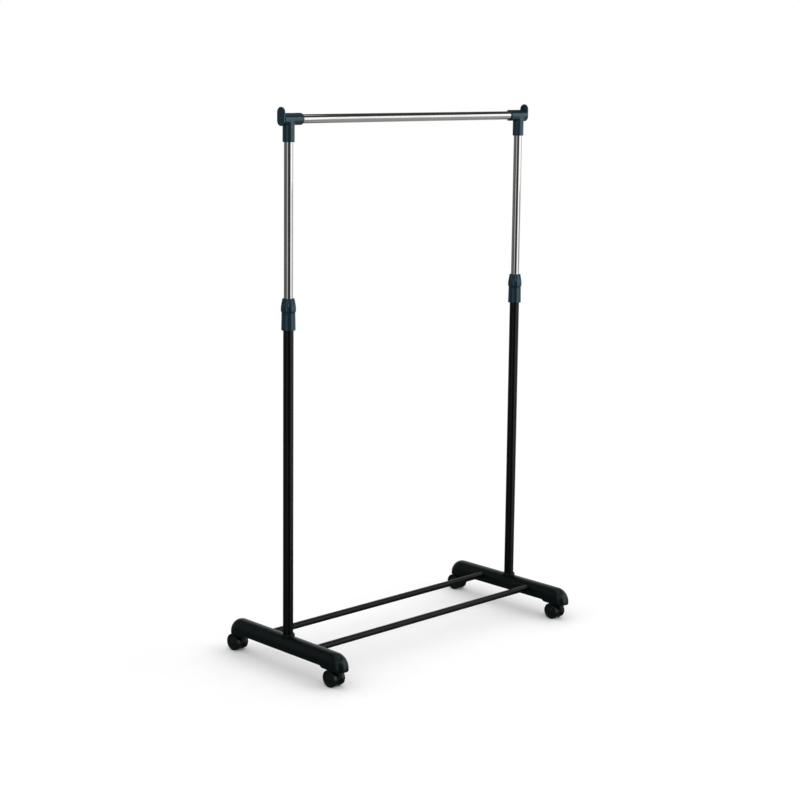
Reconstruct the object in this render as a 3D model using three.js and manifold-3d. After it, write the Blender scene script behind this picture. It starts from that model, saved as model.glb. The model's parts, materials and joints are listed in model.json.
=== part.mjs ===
// Rolling garment rack with one hanging rail whose height is adjustable.
// Millimetres, +Z up. X runs along the hanging rail, -Y is the front, and the origin is on the
// floor in the middle of the rack's box.
//
// Two moulded feet on twin-wheel castors carry the lower poles and are tied by two crossbars.
// The upper poles telescope in the lower ones, and twist-lock collars clamp them at a height.
import * as THREE from "three";
import { mergeVertices } from "three/addons/utils/BufferGeometryUtils.js";
import Module from "manifold-3d";

const wasm = await Module();
wasm.setup();

// ---- driving dimensions ---------------------------------------------------------------------

const POLE_SPACING = 790; // between the axes of the two poles
const GAP = 0.3; // between pieces that touch or are pressed together
const RUNNING_GAP = 0.4; // radial clearance of a turning or sliding fit
const OVERCUT = 1; // how far a cutter runs past the face that it opens
const TUBE_SIDES = 20; // facets around a tube or a round moulding
const PIN_SIDES = 12; // facets around a stem, an axle or a screw
const ARC_SIDES = 4; // facets in a quarter of an arc on a foot or a lug

const FOOT = {
  length: 420,
  width: 42,
  height: 36,
  wall: 2.8,
  skirtDepth: 4.5, // how far the lower edge drops around the castors
  skirtLength: 67,
  ribs: [125, 42], // distances of the cross ribs from the pole
  ribThickness: 2,
  ribRecess: 3, // ribs and bosses stop short of the lower edge
};
const UPPER_POLE = { diameter: 22, wall: 1, length: 850, exposed: 367 };
const LOWER_POLE = {
  play: 0.5, // around the upper pole, which slides in it
  wall: 1,
  exposed: 750,
  socketDepth: 26, // in the foot, below its crest
  socketWall: 4,
  socketRise: 4, // the socket stands above the crest as a ring
};
const RAIL = { diameter: 22, wall: 1, overrun: 17 }; // overrun past the pole axis
const CROSSBAR = { diameter: 16, wall: 0.9, offset: 83, rise: 19, depth: 30, socketWall: 2.2 };
const BAR_PLUG = { length: 14, bore: 3 };
const POLE_INSERT_LENGTH = 30;
const SCREW = { radius: 2.8, length: 24, headRadius: 6, headHeight: 3.6, drive: 2, chamfer: 1 };
const SCREW_SEAT = 4; // floor of the pole socket

const SLEEVE = { height: 40, cover: 36, lowerWall: 4.75, upperWall: 4, chamfer: 0.7 };
const NECK = { height: 21, wall: 1.5 };
const COLLET = { height: 27, wall: 1.6, slit: 2.2, coneHeight: 6, coneInset: 0.8 };
const NUT = {
  height: 36,
  wall: 3.15,
  footInset: 0.95, // the lowest band is a little slimmer
  footBand: 2.4,
  gripTop: 15, // top of the widest band
  topWall: 3.5,
  chamfer: 0.8,
  lip: 6, // closes the top down to the upper pole
  flutes: 10,
};
const FLUTE = { radius: 3.2, sides: 6, reach: 17, depth: 1.6, lean: 14 }; // lean in degrees
const BUSH = { headHeight: 10, shankLength: 22, bore: 6 };

const CONNECTOR = {
  wall: 2.95,
  socketDrop: 53, // mouth of the pole socket below the rail axis
  mouth: 38, // mouth of the rail sleeve from the pole axis
  floor: 2.2, // between the two bores
  chamfer: 0.8,
};
const LUG = { thickness: 5, width: 26, below: 1.75, above: 14.25, endWall: 2.8 }; // past the sleeve
const LUG_POCKET = { radius: 5.2, rise: 3.55, depth: 2.5, run: 8 };

const CASTOR = {
  fromTip: 28, // swivel axis from the tip of the foot
  trail: 14,
  headroom: 1.5, // between the wheels and the foot
  wheelDiameter: 42,
  wheelWidth: 12.5,
  wheelGap: 13,
  hubRadius: 7,
  webClearance: 0.4, // between the web and each wheel
  webInset: 1.6, // the web is that much smaller than the wheels
  capRadius: 14,
  capClearance: 0.7, // over the wheels
  capHeight: 3.9,
  capChamfer: 1.4,
};
const WHEEL = { chamfer: 1.5, rim: 3, rimInset: 3.6, rimDrop: 0.4, dish: 2.2, dishSpread: 1, hubInset: 2 };
const AXLE = { radius: 2.5, reach: 8 }; // reach into each wheel
const STEM = { radius: 3.5, reach: 19.6, ringRadius: 6, ringHeight: 1.3, play: 0.5 };
const STEM_SOCKET = { wall: 2.2, flangeRadius: 8, flange: 1.2, cover: 6, floor: 3.7, bossWall: 2.2 };

// ---- sizes that follow from them ------------------------------------------------------------

const wheelRadius = CASTOR.wheelDiameter / 2;
const castorY = FOOT.length / 2 - CASTOR.fromTip;
const rearOverhang = castorY + CASTOR.trail + wheelRadius - FOOT.length / 2;
const footUnderside = CASTOR.wheelDiameter + CASTOR.headroom + FOOT.skirtDepth;
const footCrest = footUnderside + FOOT.height;
const bossLow = footUnderside + FOOT.ribRecess;

const capLow = CASTOR.wheelDiameter + CASTOR.capClearance;
const capTop = capLow + CASTOR.capHeight;
const stemLow = capTop - STEM.reach;
const ringLow = capTop + STEM.play;
const ringHigh = ringLow + STEM.ringHeight;
const stemSocketLow = ringHigh + RUNNING_GAP;
const stemSocketTop = footCrest - STEM_SOCKET.cover;
const stemTop = stemSocketTop - STEM_SOCKET.floor;
const stemSocketBore = STEM.radius + GAP;
const stemSocketRadius = stemSocketBore + STEM_SOCKET.wall;

const upperRadius = UPPER_POLE.diameter / 2;
const upperInner = upperRadius - UPPER_POLE.wall;
const poleInner = upperRadius + LOWER_POLE.play;
const poleRadius = poleInner + LOWER_POLE.wall;
const poleBottom = footCrest - LOWER_POLE.socketDepth;
const socketMouth = footCrest + LOWER_POLE.socketRise;
const sleeveBottom = footCrest + LOWER_POLE.exposed;
const poleTop = sleeveBottom + SLEEVE.cover;
const sleeveTop = sleeveBottom + SLEEVE.height;
const neckInner = upperRadius + GAP + COLLET.wall + GAP;
const neckOuter = neckInner + NECK.wall;
const nutBore = neckOuter + RUNNING_GAP;
const nutBottom = sleeveTop + GAP;
const nutTop = sleeveTop + NUT.height;

const railRadius = RAIL.diameter / 2;
const railHeight = nutTop + UPPER_POLE.exposed + CONNECTOR.socketDrop;
const railSleeveRadius = railRadius + GAP + CONNECTOR.wall;
const lugFace = RAIL.overrun + GAP + LUG.endWall; // inner face of the lug from the pole axis
const upperTop = railHeight - railRadius - CONNECTOR.floor - 2 * GAP;
const upperBottom = upperTop - UPPER_POLE.length;

const barRadius = CROSSBAR.diameter / 2;
const barHeight = footUnderside + CROSSBAR.rise;
const barReach = POLE_SPACING / 2 - FOOT.width / 2 + CROSSBAR.depth;

// ---- materials ------------------------------------------------------------------------------

const finish = (color, roughness, metalness) =>
  new THREE.MeshStandardMaterial({ color, roughness, metalness });
const BLACK_PLASTIC = finish(0x15181b, 0.5, 0);
const BLACK_PAINT = finish(0x101218, 0.35, 0.4);
const SLATE_PLASTIC = finish(0x2c4250, 0.45, 0);
const CHROME = finish(0xd4d6d8, 0.08, 1);
const NATURAL_PLASTIC = finish(0xc9c8c0, 0.5, 0);
const ZINC = finish(0x9a9fa3, 0.35, 1);
const WHEEL_PLASTIC = finish(0x1b1c1e, 0.55, 0);

// ---- solids ---------------------------------------------------------------------------------

// A closed geometry as a solid that can be joined and cut
function solid(geometry) {
  const bare = geometry.clone();
  bare.deleteAttribute("normal");
  bare.deleteAttribute("uv");
  const merged = mergeVertices(bare, 1e-4);
  const corners = Array.from(merged.index.array);
  const triangles = [];
  for (let i = 0; i < corners.length; i += 3) {
    const [a, b, c] = corners.slice(i, i + 3);
    if (a !== b && b !== c && c !== a) triangles.push(a, b, c);
  }
  return new wasm.Manifold(new wasm.Mesh({
    numProp: 3,
    vertProperties: new Float32Array(merged.attributes.position.array),
    triVerts: new Uint32Array(triangles),
  }));
}

// The geometry of a solid
function geometryOf(body) {
  const mesh = body.getMesh();
  const geometry = new THREE.BufferGeometry();
  geometry.setAttribute("position", new THREE.BufferAttribute(mesh.vertProperties, 3));
  geometry.setIndex(new THREE.BufferAttribute(mesh.triVerts, 1));
  geometry.computeVertexNormals();
  return geometry;
}

const union = (bodies) => bodies.reduce((all, body) => all.add(body));
const cut = (body, cutters) => cutters.reduce((rest, cutter) => rest.subtract(cutter), body);

// A profile of [radius, height] points turned about +Z, with a facet facing each axis
function turned(profile, sides = TUBE_SIDES) {
  const points = profile.map(([radius, height]) => new THREE.Vector2(radius, height));
  if (THREE.ShapeUtils.isClockWise(points)) points.reverse();
  const closed = points.some((point) => point.x === 0) ? points : [...points, points[0]];
  const start = closed.findIndex((point, i) => point.x === 0 && closed.at(i - 1).x === 0);
  const ordered = start > 0 ? [...closed.slice(start), ...closed.slice(0, start)] : closed;
  return new THREE.LatheGeometry(ordered, sides).rotateY(Math.PI / sides).rotateX(Math.PI / 2);
}

// A solid rod and a tube between two heights
const rod = (radius, low, high, sides = TUBE_SIDES) =>
  turned([[0, low], [radius, low], [radius, high], [0, high]], sides);
const tube = (inner, outer, low, high, sides = TUBE_SIDES) =>
  turned([[inner, low], [outer, low], [outer, high], [inner, high]], sides);

// Turns a geometry that was made along +Z to lie along +X
const alongX = (geometry) => geometry.rotateY(Math.PI / 2);

// A box given by its limits
function block([x0, x1], [y0, y1], [z0, z1]) {
  const box = new THREE.BoxGeometry(x1 - x0, y1 - y0, z1 - z0);
  return box.translate((x0 + x1) / 2, (y0 + y1) / 2, (z0 + z1) / 2);
}

// A named mesh inside a group
function piece(group, name, geometry, material) {
  const mesh = new THREE.Mesh(geometry, material);
  mesh.name = name;
  group.add(mesh);
  return mesh;
}

// ---- foot -----------------------------------------------------------------------------------

const SIDES = [-1, 1];

// The foot's section: straight sides under a half-round top
function footSection(halfWidth, height) {
  const shape = new THREE.Shape();
  shape.moveTo(-halfWidth, 0);
  shape.lineTo(halfWidth, 0);
  shape.absarc(0, height - halfWidth, halfWidth, 0, Math.PI, false);
  shape.closePath();
  return shape;
}

// A foot's plan over its skirted end, which is half-round at the tip
function skirtPlan(halfWidth, from) {
  const shape = new THREE.Shape();
  shape.moveTo(-halfWidth, from);
  shape.lineTo(halfWidth, from);
  shape.absarc(0, FOOT.length / 2 - FOOT.width / 2, halfWidth, 0, Math.PI, false);
  shape.closePath();
  return shape;
}

const extruded = (shape, depth) =>
  new THREE.ExtrudeGeometry(shape, { depth, bevelEnabled: false, curveSegments: ARC_SIDES });

// The rear end of a foot: the section turned about its own lower edge, over the skirt
function footEnd(section, skirt, bend) {
  const rim = section.extractPoints(ARC_SIDES).shape.map((point) => [point.y, point.x]);
  const round = alongX(turned(rim).rotateZ(Math.PI / TUBE_SIDES)).translate(0, bend, footUnderside);
  const upper = block([-FOOT.width, FOOT.width], [0, FOOT.length], [footUnderside, footCrest + OVERCUT]);
  return solid(round).intersect(solid(upper)).add(solid(skirt));
}

// The outer form of a foot, or with an inset the hollow under its wall, which is open below
function footForm(inset) {
  const halfWidth = FOOT.width / 2 - inset;
  const bend = FOOT.length / 2 - FOOT.height; // where the end starts to curve down
  const drop = inset > 0 ? OVERCUT : 0;
  const section = footSection(halfWidth, FOOT.height - inset);
  const beam = extruded(section, 2 * bend).rotateX(Math.PI / 2).translate(0, bend, footUnderside);
  const skirt = extruded(
    skirtPlan(halfWidth, FOOT.length / 2 - FOOT.skirtLength - drop), FOOT.skirtDepth + drop)
    .translate(0, 0, footUnderside - FOOT.skirtDepth - drop);
  const end = footEnd(section, skirt, bend);
  const form = union([solid(beam), end, end.rotate([0, 0, 180])]);
  if (drop === 0) return form;
  const mouth = block([-halfWidth, halfWidth], [-bend, bend], [footUnderside - drop, footUnderside + drop]);
  return form.add(solid(mouth));
}

// Copies of a form at the two castors, or at the two crossbars of a foot
const atCastors = (geometry) =>
  SIDES.map((side) => solid(geometry.clone().translate(0, side * castorY, 0)));
const atCrossbars = (geometry) =>
  SIDES.map((side) => solid(geometry.clone().translate(0, side * CROSSBAR.offset, barHeight)));

// Cross ribs under the crest of a foot
function footRibs() {
  const half = FOOT.ribThickness / 2;
  return FOOT.ribs.flatMap((distance) => SIDES.map((side) => solid(block(
    [-FOOT.width / 2, FOOT.width / 2], [side * distance - half, side * distance + half],
    [bossLow, footCrest]))));
}

// One foot about its pole, with the crossbar sockets facing -X
function footGeometry() {
  const mouth = -FOOT.width / 2;
  const barEnd = mouth + CROSSBAR.depth + GAP;
  const outer = footForm(0);
  const inside = union([
    ...atCastors(rod(stemSocketRadius + GAP + STEM_SOCKET.bossWall, bossLow, footCrest, PIN_SIDES)),
    ...atCrossbars(alongX(rod(barRadius + GAP + CROSSBAR.socketWall, mouth, barEnd + CROSSBAR.socketWall))),
    ...footRibs(),
  ]).intersect(outer);
  const socket = rod(poleRadius + LOWER_POLE.socketWall, poleBottom - SCREW_SEAT, socketMouth);
  const shell = union([outer.subtract(footForm(FOOT.wall)), inside, solid(socket)]);
  return geometryOf(cut(shell, [
    solid(rod(poleRadius + GAP, poleBottom - GAP, socketMouth + OVERCUT)),
    solid(rod(SCREW.radius + GAP, footUnderside, poleBottom + OVERCUT, PIN_SIDES)),
    ...atCastors(rod(stemSocketRadius + GAP, footUnderside, stemSocketTop + GAP, PIN_SIDES)),
    ...atCrossbars(alongX(rod(barRadius + GAP, mouth - OVERCUT, barEnd))),
  ]));
}

// ---- lower pole, its insert and its screw ---------------------------------------------------

const lowerPoleGeometry = () => tube(poleInner, poleRadius, poleBottom, poleTop);

const poleInsertGeometry = () =>
  tube(SCREW.radius + GAP, poleInner - GAP, poleBottom, poleBottom + POLE_INSERT_LENGTH);

// Screw driven up through the floor of the pole socket
function screwGeometry() {
  const seat = poleBottom - SCREW_SEAT - GAP;
  const head = seat - SCREW.headHeight;
  return turned([
    [0, head + SCREW.drive], [SCREW.drive, head + SCREW.drive], [SCREW.drive, head],
    [SCREW.headRadius - SCREW.chamfer, head], [SCREW.headRadius, head + SCREW.chamfer],
    [SCREW.headRadius, seat], [SCREW.radius, seat], [SCREW.radius, seat + SCREW.length],
    [0, seat + SCREW.length],
  ], PIN_SIDES);
}

// ---- collar ---------------------------------------------------------------------------------

// Sleeve over the top of the lower pole, with the neck that the nut turns on
function sleeveGeometry() {
  const poleBore = poleRadius + GAP;
  const lower = poleRadius + SLEEVE.lowerWall;
  const upper = poleRadius + SLEEVE.upperWall;
  const throat = upperRadius + RUNNING_GAP;
  return turned([
    [poleBore, sleeveBottom], [lower - SLEEVE.chamfer, sleeveBottom],
    [lower, sleeveBottom + SLEEVE.chamfer], [upper, sleeveTop - SLEEVE.chamfer],
    [upper - SLEEVE.chamfer, sleeveTop], [neckOuter, sleeveTop],
    [neckOuter, sleeveTop + NECK.height], [neckInner, sleeveTop + NECK.height],
    [neckInner, sleeveTop], [throat, sleeveTop], [throat, poleTop + GAP], [poleBore, poleTop + GAP],
  ]);
}

// Split clamping ring between the neck and the upper pole
function colletGeometry() {
  const inner = upperRadius + GAP;
  const outer = inner + COLLET.wall;
  const low = sleeveTop + GAP;
  const high = low + COLLET.height;
  const ring = turned([
    [inner, low], [outer, low], [outer, high - COLLET.coneHeight],
    [outer - COLLET.coneInset, high], [inner, high],
  ]);
  const slit = block([0, 2 * outer], [-COLLET.slit / 2, COLLET.slit / 2], [low - OVERCUT, high + OVERCUT]);
  return geometryOf(solid(ring).subtract(solid(slit)));
}

// One of the flutes that run out down the nut's taper
function fluteCutter(index) {
  const turn = (index + 0.5) * 2 * Math.PI / NUT.flutes;
  const radius = upperRadius + NUT.topWall - FLUTE.depth + FLUTE.radius;
  return solid(rod(FLUTE.radius, -FLUTE.reach, FLUTE.reach, FLUTE.sides)
    .rotateY(-THREE.MathUtils.degToRad(FLUTE.lean))
    .translate(radius, 0, nutTop)
    .rotateZ(turn));
}

// Nut with a tapering fluted top
function nutGeometry() {
  const grip = nutBore + NUT.wall;
  const foot = grip - NUT.footInset;
  const top = upperRadius + NUT.topWall;
  const throat = upperRadius + RUNNING_GAP;
  const band = nutBottom + NUT.footBand;
  const shoulder = nutBottom + NUT.gripTop;
  const coneTop = nutTop - NUT.lip;
  const coneLow = nutBottom + COLLET.height - COLLET.coneHeight;
  const form = turned([
    [nutBore, nutBottom], [foot, nutBottom], [foot, band], [grip, band + NUT.footInset],
    [grip, shoulder - NUT.wall], [grip - NUT.chamfer, shoulder], [top, nutTop - NUT.chamfer],
    [top - NUT.chamfer, nutTop], [throat, nutTop], [throat, coneTop],
    [nutBore - NECK.wall, coneTop - NUT.lip / 2], [nutBore, coneLow],
  ]);
  const flutes = Array.from({ length: NUT.flutes }, (_, index) => fluteCutter(index));
  return geometryOf(cut(solid(form), flutes));
}

// ---- upper pole, guide bush and connector ---------------------------------------------------

const upperPoleGeometry = () => tube(upperInner, upperRadius, upperBottom, upperTop);

// Guide bush in the lower end of the upper pole, which slides in the lower pole
function bushGeometry() {
  const seat = upperBottom - GAP;
  const head = poleInner - GAP;
  const shank = upperInner - GAP;
  return turned([
    [BUSH.bore, seat - BUSH.headHeight], [head, seat - BUSH.headHeight], [head, seat],
    [shank, seat], [shank, seat + BUSH.shankLength], [BUSH.bore, seat + BUSH.shankLength],
  ]);
}

// Lug plate with round ends, standing across the rail
function lugSolid() {
  const radius = LUG.width / 2;
  const shape = new THREE.Shape();
  shape.absarc(0, railSleeveRadius + LUG.above - radius, radius, 0, Math.PI, false);
  shape.absarc(0, radius - railSleeveRadius - LUG.below, radius, Math.PI, 2 * Math.PI, false);
  shape.closePath();
  return solid(extruded(shape, LUG.thickness)
    .rotateX(Math.PI / 2).rotateZ(Math.PI / 2).translate(lugFace, 0, railHeight));
}

// Connector about its pole axis: socket down, rail sleeve towards -X, lug at +X
function connectorGeometry() {
  const outer = upperRadius + GAP + CONNECTOR.wall;
  const low = railHeight - CONNECTOR.socketDrop;
  const socket = turned([
    [0, low], [outer - CONNECTOR.chamfer, low], [outer, low + CONNECTOR.chamfer],
    [outer, railHeight], [0, railHeight],
  ]);
  const sleeve = alongX(turned([
    [0, -CONNECTOR.mouth], [railSleeveRadius - CONNECTOR.chamfer, -CONNECTOR.mouth],
    [railSleeveRadius, CONNECTOR.chamfer - CONNECTOR.mouth], [railSleeveRadius, lugFace + OVERCUT],
    [0, lugFace + OVERCUT],
  ])).translate(0, 0, railHeight);
  const poleBore = rod(upperRadius + GAP, low - OVERCUT, upperTop + GAP);
  const railBore = alongX(rod(railRadius + GAP, -CONNECTOR.mouth - OVERCUT, RAIL.overrun + GAP))
    .translate(0, 0, railHeight);
  const pocket = alongX(rod(LUG_POCKET.radius, -LUG_POCKET.run, LUG_POCKET.depth, PIN_SIDES))
    .translate(lugFace, 0, railHeight + railSleeveRadius + LUG_POCKET.rise);
  const body = union([solid(socket), solid(sleeve), lugSolid()]);
  return geometryOf(cut(body, [solid(poleBore), solid(railBore), solid(pocket)]));
}

// ---- rail, crossbars and their plugs --------------------------------------------------------

function railGeometry() {
  const reach = POLE_SPACING / 2 + RAIL.overrun;
  return alongX(tube(railRadius - RAIL.wall, railRadius, -reach, reach)).translate(0, 0, railHeight);
}

const crossbarGeometry = (along) =>
  alongX(tube(barRadius - CROSSBAR.wall, barRadius, -barReach, barReach))
    .translate(0, along * CROSSBAR.offset, barHeight);

// Plug pressed into one end of a crossbar, flush with the tube
function barPlugGeometry(across, along) {
  const half = BAR_PLUG.length / 2;
  return alongX(tube(BAR_PLUG.bore, barRadius - CROSSBAR.wall - GAP, -half, half))
    .translate(across * (barReach - half), along * CROSSBAR.offset, barHeight);
}

// ---- castor, about its swivel axis, trailing towards +Y --------------------------------------

// Bush pressed into the foot, which grips the stem
const stemSocketGeometry = () => turned([
  [stemSocketBore, stemSocketLow], [STEM_SOCKET.flangeRadius, stemSocketLow],
  [STEM_SOCKET.flangeRadius, stemSocketLow + STEM_SOCKET.flange],
  [stemSocketRadius, stemSocketLow + STEM_SOCKET.flange], [stemSocketRadius, stemSocketTop],
  [0, stemSocketTop], [0, stemTop + GAP], [stemSocketBore, stemTop + GAP],
], PIN_SIDES);

const stemGeometry = () => turned([
  [0, stemLow], [STEM.radius, stemLow], [STEM.radius, ringLow], [STEM.ringRadius, ringLow],
  [STEM.ringRadius, ringHigh], [STEM.radius, ringHigh], [STEM.radius, stemTop], [0, stemTop],
], PIN_SIDES);

// Housing: a web between the wheels under a round cap, with the stem bore and the axle bore
function housingGeometry() {
  const halfWeb = CASTOR.wheelGap / 2 - CASTOR.webClearance;
  const web = alongX(rod(wheelRadius - CASTOR.webInset, -halfWeb, halfWeb))
    .translate(0, CASTOR.trail, wheelRadius);
  const neck = block([-halfWeb, halfWeb], [-halfWeb - STEM.radius, CASTOR.trail],
    [stemLow - STEM.radius, capLow + OVERCUT]);
  const cap = turned([
    [0, capLow], [CASTOR.capRadius, capLow], [CASTOR.capRadius, capTop - CASTOR.capChamfer],
    [CASTOR.capRadius - CASTOR.capChamfer, capTop], [0, capTop],
  ]);
  const stemBore = rod(STEM.radius + RUNNING_GAP, stemLow - GAP, capTop + OVERCUT, PIN_SIDES);
  const axleBore = alongX(rod(AXLE.radius + GAP, -CASTOR.wheelGap, CASTOR.wheelGap, PIN_SIDES))
    .translate(0, CASTOR.trail, wheelRadius);
  const body = union([solid(web), solid(neck), solid(cap)]);
  return geometryOf(cut(body, [solid(stemBore), solid(axleBore)]));
}

function axleGeometry() {
  const reach = CASTOR.wheelGap / 2 + AXLE.reach;
  return alongX(rod(AXLE.radius, -reach, reach, PIN_SIDES)).translate(0, CASTOR.trail, wheelRadius);
}

// A wheel's profile, with its inner face at zero and a shallow dish in its outer face
function wheelProfile() {
  const tread = wheelRadius / Math.cos(Math.PI / TUBE_SIDES); // a facet, not an edge, meets the floor
  const width = CASTOR.wheelWidth;
  const bore = AXLE.radius + RUNNING_GAP;
  const end = AXLE.reach + GAP;
  return [
    [bore, 0], [tread - WHEEL.chamfer, 0], [tread, WHEEL.chamfer], [tread, width - WHEEL.rim],
    [tread - WHEEL.rimInset, width - WHEEL.rimDrop],
    [CASTOR.hubRadius + WHEEL.dishSpread, width - WHEEL.dish],
    [CASTOR.hubRadius - WHEEL.hubInset, width], [0, width], [0, end], [bore, end],
  ];
}

function wheelGeometry(side) {
  const wheel = turned(wheelProfile()).translate(0, 0, CASTOR.wheelGap / 2);
  if (side < 0) wheel.rotateY(Math.PI);
  return alongX(wheel).translate(0, CASTOR.trail, wheelRadius);
}

function addCastor(parent, place, x, y) {
  const castor = new THREE.Group();
  castor.position.set(x, y, 0);
  parent.add(castor);
  piece(castor, `castor_socket_${place}`, stemSocketGeometry(), NATURAL_PLASTIC);
  piece(castor, `castor_stem_${place}`, stemGeometry(), ZINC);
  piece(castor, `castor_housing_${place}`, housingGeometry(), BLACK_PLASTIC);
  piece(castor, `castor_axle_${place}`, axleGeometry(), ZINC);
  piece(castor, `castor_wheel_${place}_left`, wheelGeometry(-1), WHEEL_PLASTIC);
  piece(castor, `castor_wheel_${place}_right`, wheelGeometry(1), WHEEL_PLASTIC);
}

// ---- the rack -------------------------------------------------------------------------------

// Everything on one pole axis; the left side is the right side turned half round
function addPole(parent, hand, x) {
  const pole = new THREE.Group();
  pole.position.set(x, 0, 0);
  pole.rotation.z = x < 0 ? Math.PI : 0;
  parent.add(pole);
  piece(pole, `foot_${hand}`, footGeometry(), BLACK_PLASTIC);
  piece(pole, `lower_pole_${hand}`, lowerPoleGeometry(), BLACK_PAINT);
  piece(pole, `pole_insert_${hand}`, poleInsertGeometry(), NATURAL_PLASTIC);
  piece(pole, `pole_screw_${hand}`, screwGeometry(), ZINC);
  piece(pole, `collar_sleeve_${hand}`, sleeveGeometry(), SLATE_PLASTIC);
  piece(pole, `collar_collet_${hand}`, colletGeometry(), NATURAL_PLASTIC);
  piece(pole, `collar_nut_${hand}`, nutGeometry(), SLATE_PLASTIC);
  piece(pole, `upper_pole_${hand}`, upperPoleGeometry(), CHROME);
  piece(pole, `guide_bush_${hand}`, bushGeometry(), NATURAL_PLASTIC);
  piece(pole, `rail_connector_${hand}`, connectorGeometry(), SLATE_PLASTIC);
}

const HANDS = [["left", -1], ["right", 1]];
const DEPTHS = [["front", -1], ["rear", 1]];

const rack = new THREE.Group();
rack.position.y = -rearOverhang / 2; // the rear castors stand out behind the feet

for (const [hand, across] of HANDS) addPole(rack, hand, across * POLE_SPACING / 2);
piece(rack, "top_rail", railGeometry(), CHROME);
for (const [depth, along] of DEPTHS) {
  piece(rack, `crossbar_${depth}`, crossbarGeometry(along), BLACK_PAINT);
  for (const [hand, across] of HANDS) {
    piece(rack, `crossbar_plug_${depth}_${hand}`, barPlugGeometry(across, along), NATURAL_PLASTIC);
    addCastor(rack, `${depth}_${hand}`, across * POLE_SPACING / 2, along * castorY);
  }
}

export default rack;
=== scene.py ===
"""Looks of a rolling garment rack with one hanging rail on two telescoping poles.

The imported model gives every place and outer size. Each class below makes one sub-assembly as smooth
meshes that stand for the plain solids, and dresses it in its finish.
"""

import json
import logging
import math
from collections.abc import Sequence
from dataclasses import dataclass
from enum import Enum

import bmesh
import bpy
from mathutils import Matrix, Vector


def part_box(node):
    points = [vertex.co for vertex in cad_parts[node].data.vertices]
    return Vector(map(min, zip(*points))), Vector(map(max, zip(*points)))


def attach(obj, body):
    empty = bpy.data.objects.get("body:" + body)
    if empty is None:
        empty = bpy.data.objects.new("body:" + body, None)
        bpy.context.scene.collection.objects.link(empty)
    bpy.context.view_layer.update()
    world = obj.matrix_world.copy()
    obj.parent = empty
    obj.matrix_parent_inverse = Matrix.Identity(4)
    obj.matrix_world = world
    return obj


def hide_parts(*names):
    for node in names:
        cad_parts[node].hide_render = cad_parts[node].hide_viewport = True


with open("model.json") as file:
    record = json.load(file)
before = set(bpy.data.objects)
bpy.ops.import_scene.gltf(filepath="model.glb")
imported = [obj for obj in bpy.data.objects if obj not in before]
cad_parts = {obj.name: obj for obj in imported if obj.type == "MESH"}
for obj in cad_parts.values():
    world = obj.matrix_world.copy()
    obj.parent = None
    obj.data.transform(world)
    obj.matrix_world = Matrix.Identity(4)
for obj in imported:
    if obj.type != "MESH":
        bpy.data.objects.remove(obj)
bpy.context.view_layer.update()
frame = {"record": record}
BODY_OF = {node: body for body, nodes in frame["record"]["behaviour"]["bodies"].items() for node in nodes}

LOG = logging.getLogger("garment_rack")

MM = 0.001
FIT = 0.3 * MM  # between pieces that touch or are pressed together
RUNNING_FIT = 0.4 * MM  # radial clearance of a turning or sliding fit
OVERCUT = 1.0 * MM  # how far a cutter runs past the face that it opens
WELD = 1e-7
TUBE_FACET = math.cos(math.pi / 20)  # across the flats of a plain tube, as a share of its diameter
PIN_FACET = math.cos(math.pi / 12)  # the same for a castor's stem and its bush
CASTOR_SOCKET_RADIUS = 6.0 * MM  # of the bush in the foot

IN_PLACE = Matrix()

Colour = tuple[float, float, float]
Band = tuple[float, float]
Socket = bpy.types.NodeSocket


# ---- measuring the frame ----------------------------------------------------------------------


@dataclass(frozen=True)
class Box:
    """The box of a plain solid of the frame."""

    low: Vector
    high: Vector

    @classmethod
    def of(cls, node: str) -> "Box":
        """The box of the named node."""
        return cls(*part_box(node))

    @property
    def middle(self) -> Vector:
        """The box's centre."""
        return (self.low + self.high) / 2

    @property
    def size(self) -> Vector:
        """The box's length along each axis."""
        return self.high - self.low

    def radius(self, axis: str = "x", facet: float = TUBE_FACET) -> float:
        """The radius of the round piece that a faceted solid stands for, measured along an axis."""
        return getattr(self.size, axis) / 2 / facet


class Hand(Enum):
    """The two ends of the rack."""

    LEFT = "left"
    RIGHT = "right"

    @property
    def place(self) -> Matrix:
        """Moves a form made about the right-hand pole's axis to this end.

        Returns:
            The transform from the form's own place to the rack's.
        """
        pole = Box.of(self.node("lower_pole")).middle
        turn = math.pi if self is Hand.LEFT else 0.0
        return Matrix.Translation((pole.x, pole.y, 0.0)) @ Matrix.Rotation(turn, 4, "Z")

    def node(self, stem: str) -> str:
        """The name of this end's node."""
        return f"{stem}_{self.value}"


class Depth(Enum):
    """The front and the rear of the rack."""

    FRONT = "front"
    REAR = "rear"

    def node(self, stem: str) -> str:
        """The name of the node at this depth."""
        return f"{stem}_{self.value}"


# ---- shaping ----------------------------------------------------------------------------------


@dataclass(frozen=True)
class Corner:
    """A corner of an outline to be turned: how far out, how far up, and how far its rounding reaches."""

    out: float
    up: float
    round: float = 0.0


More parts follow.
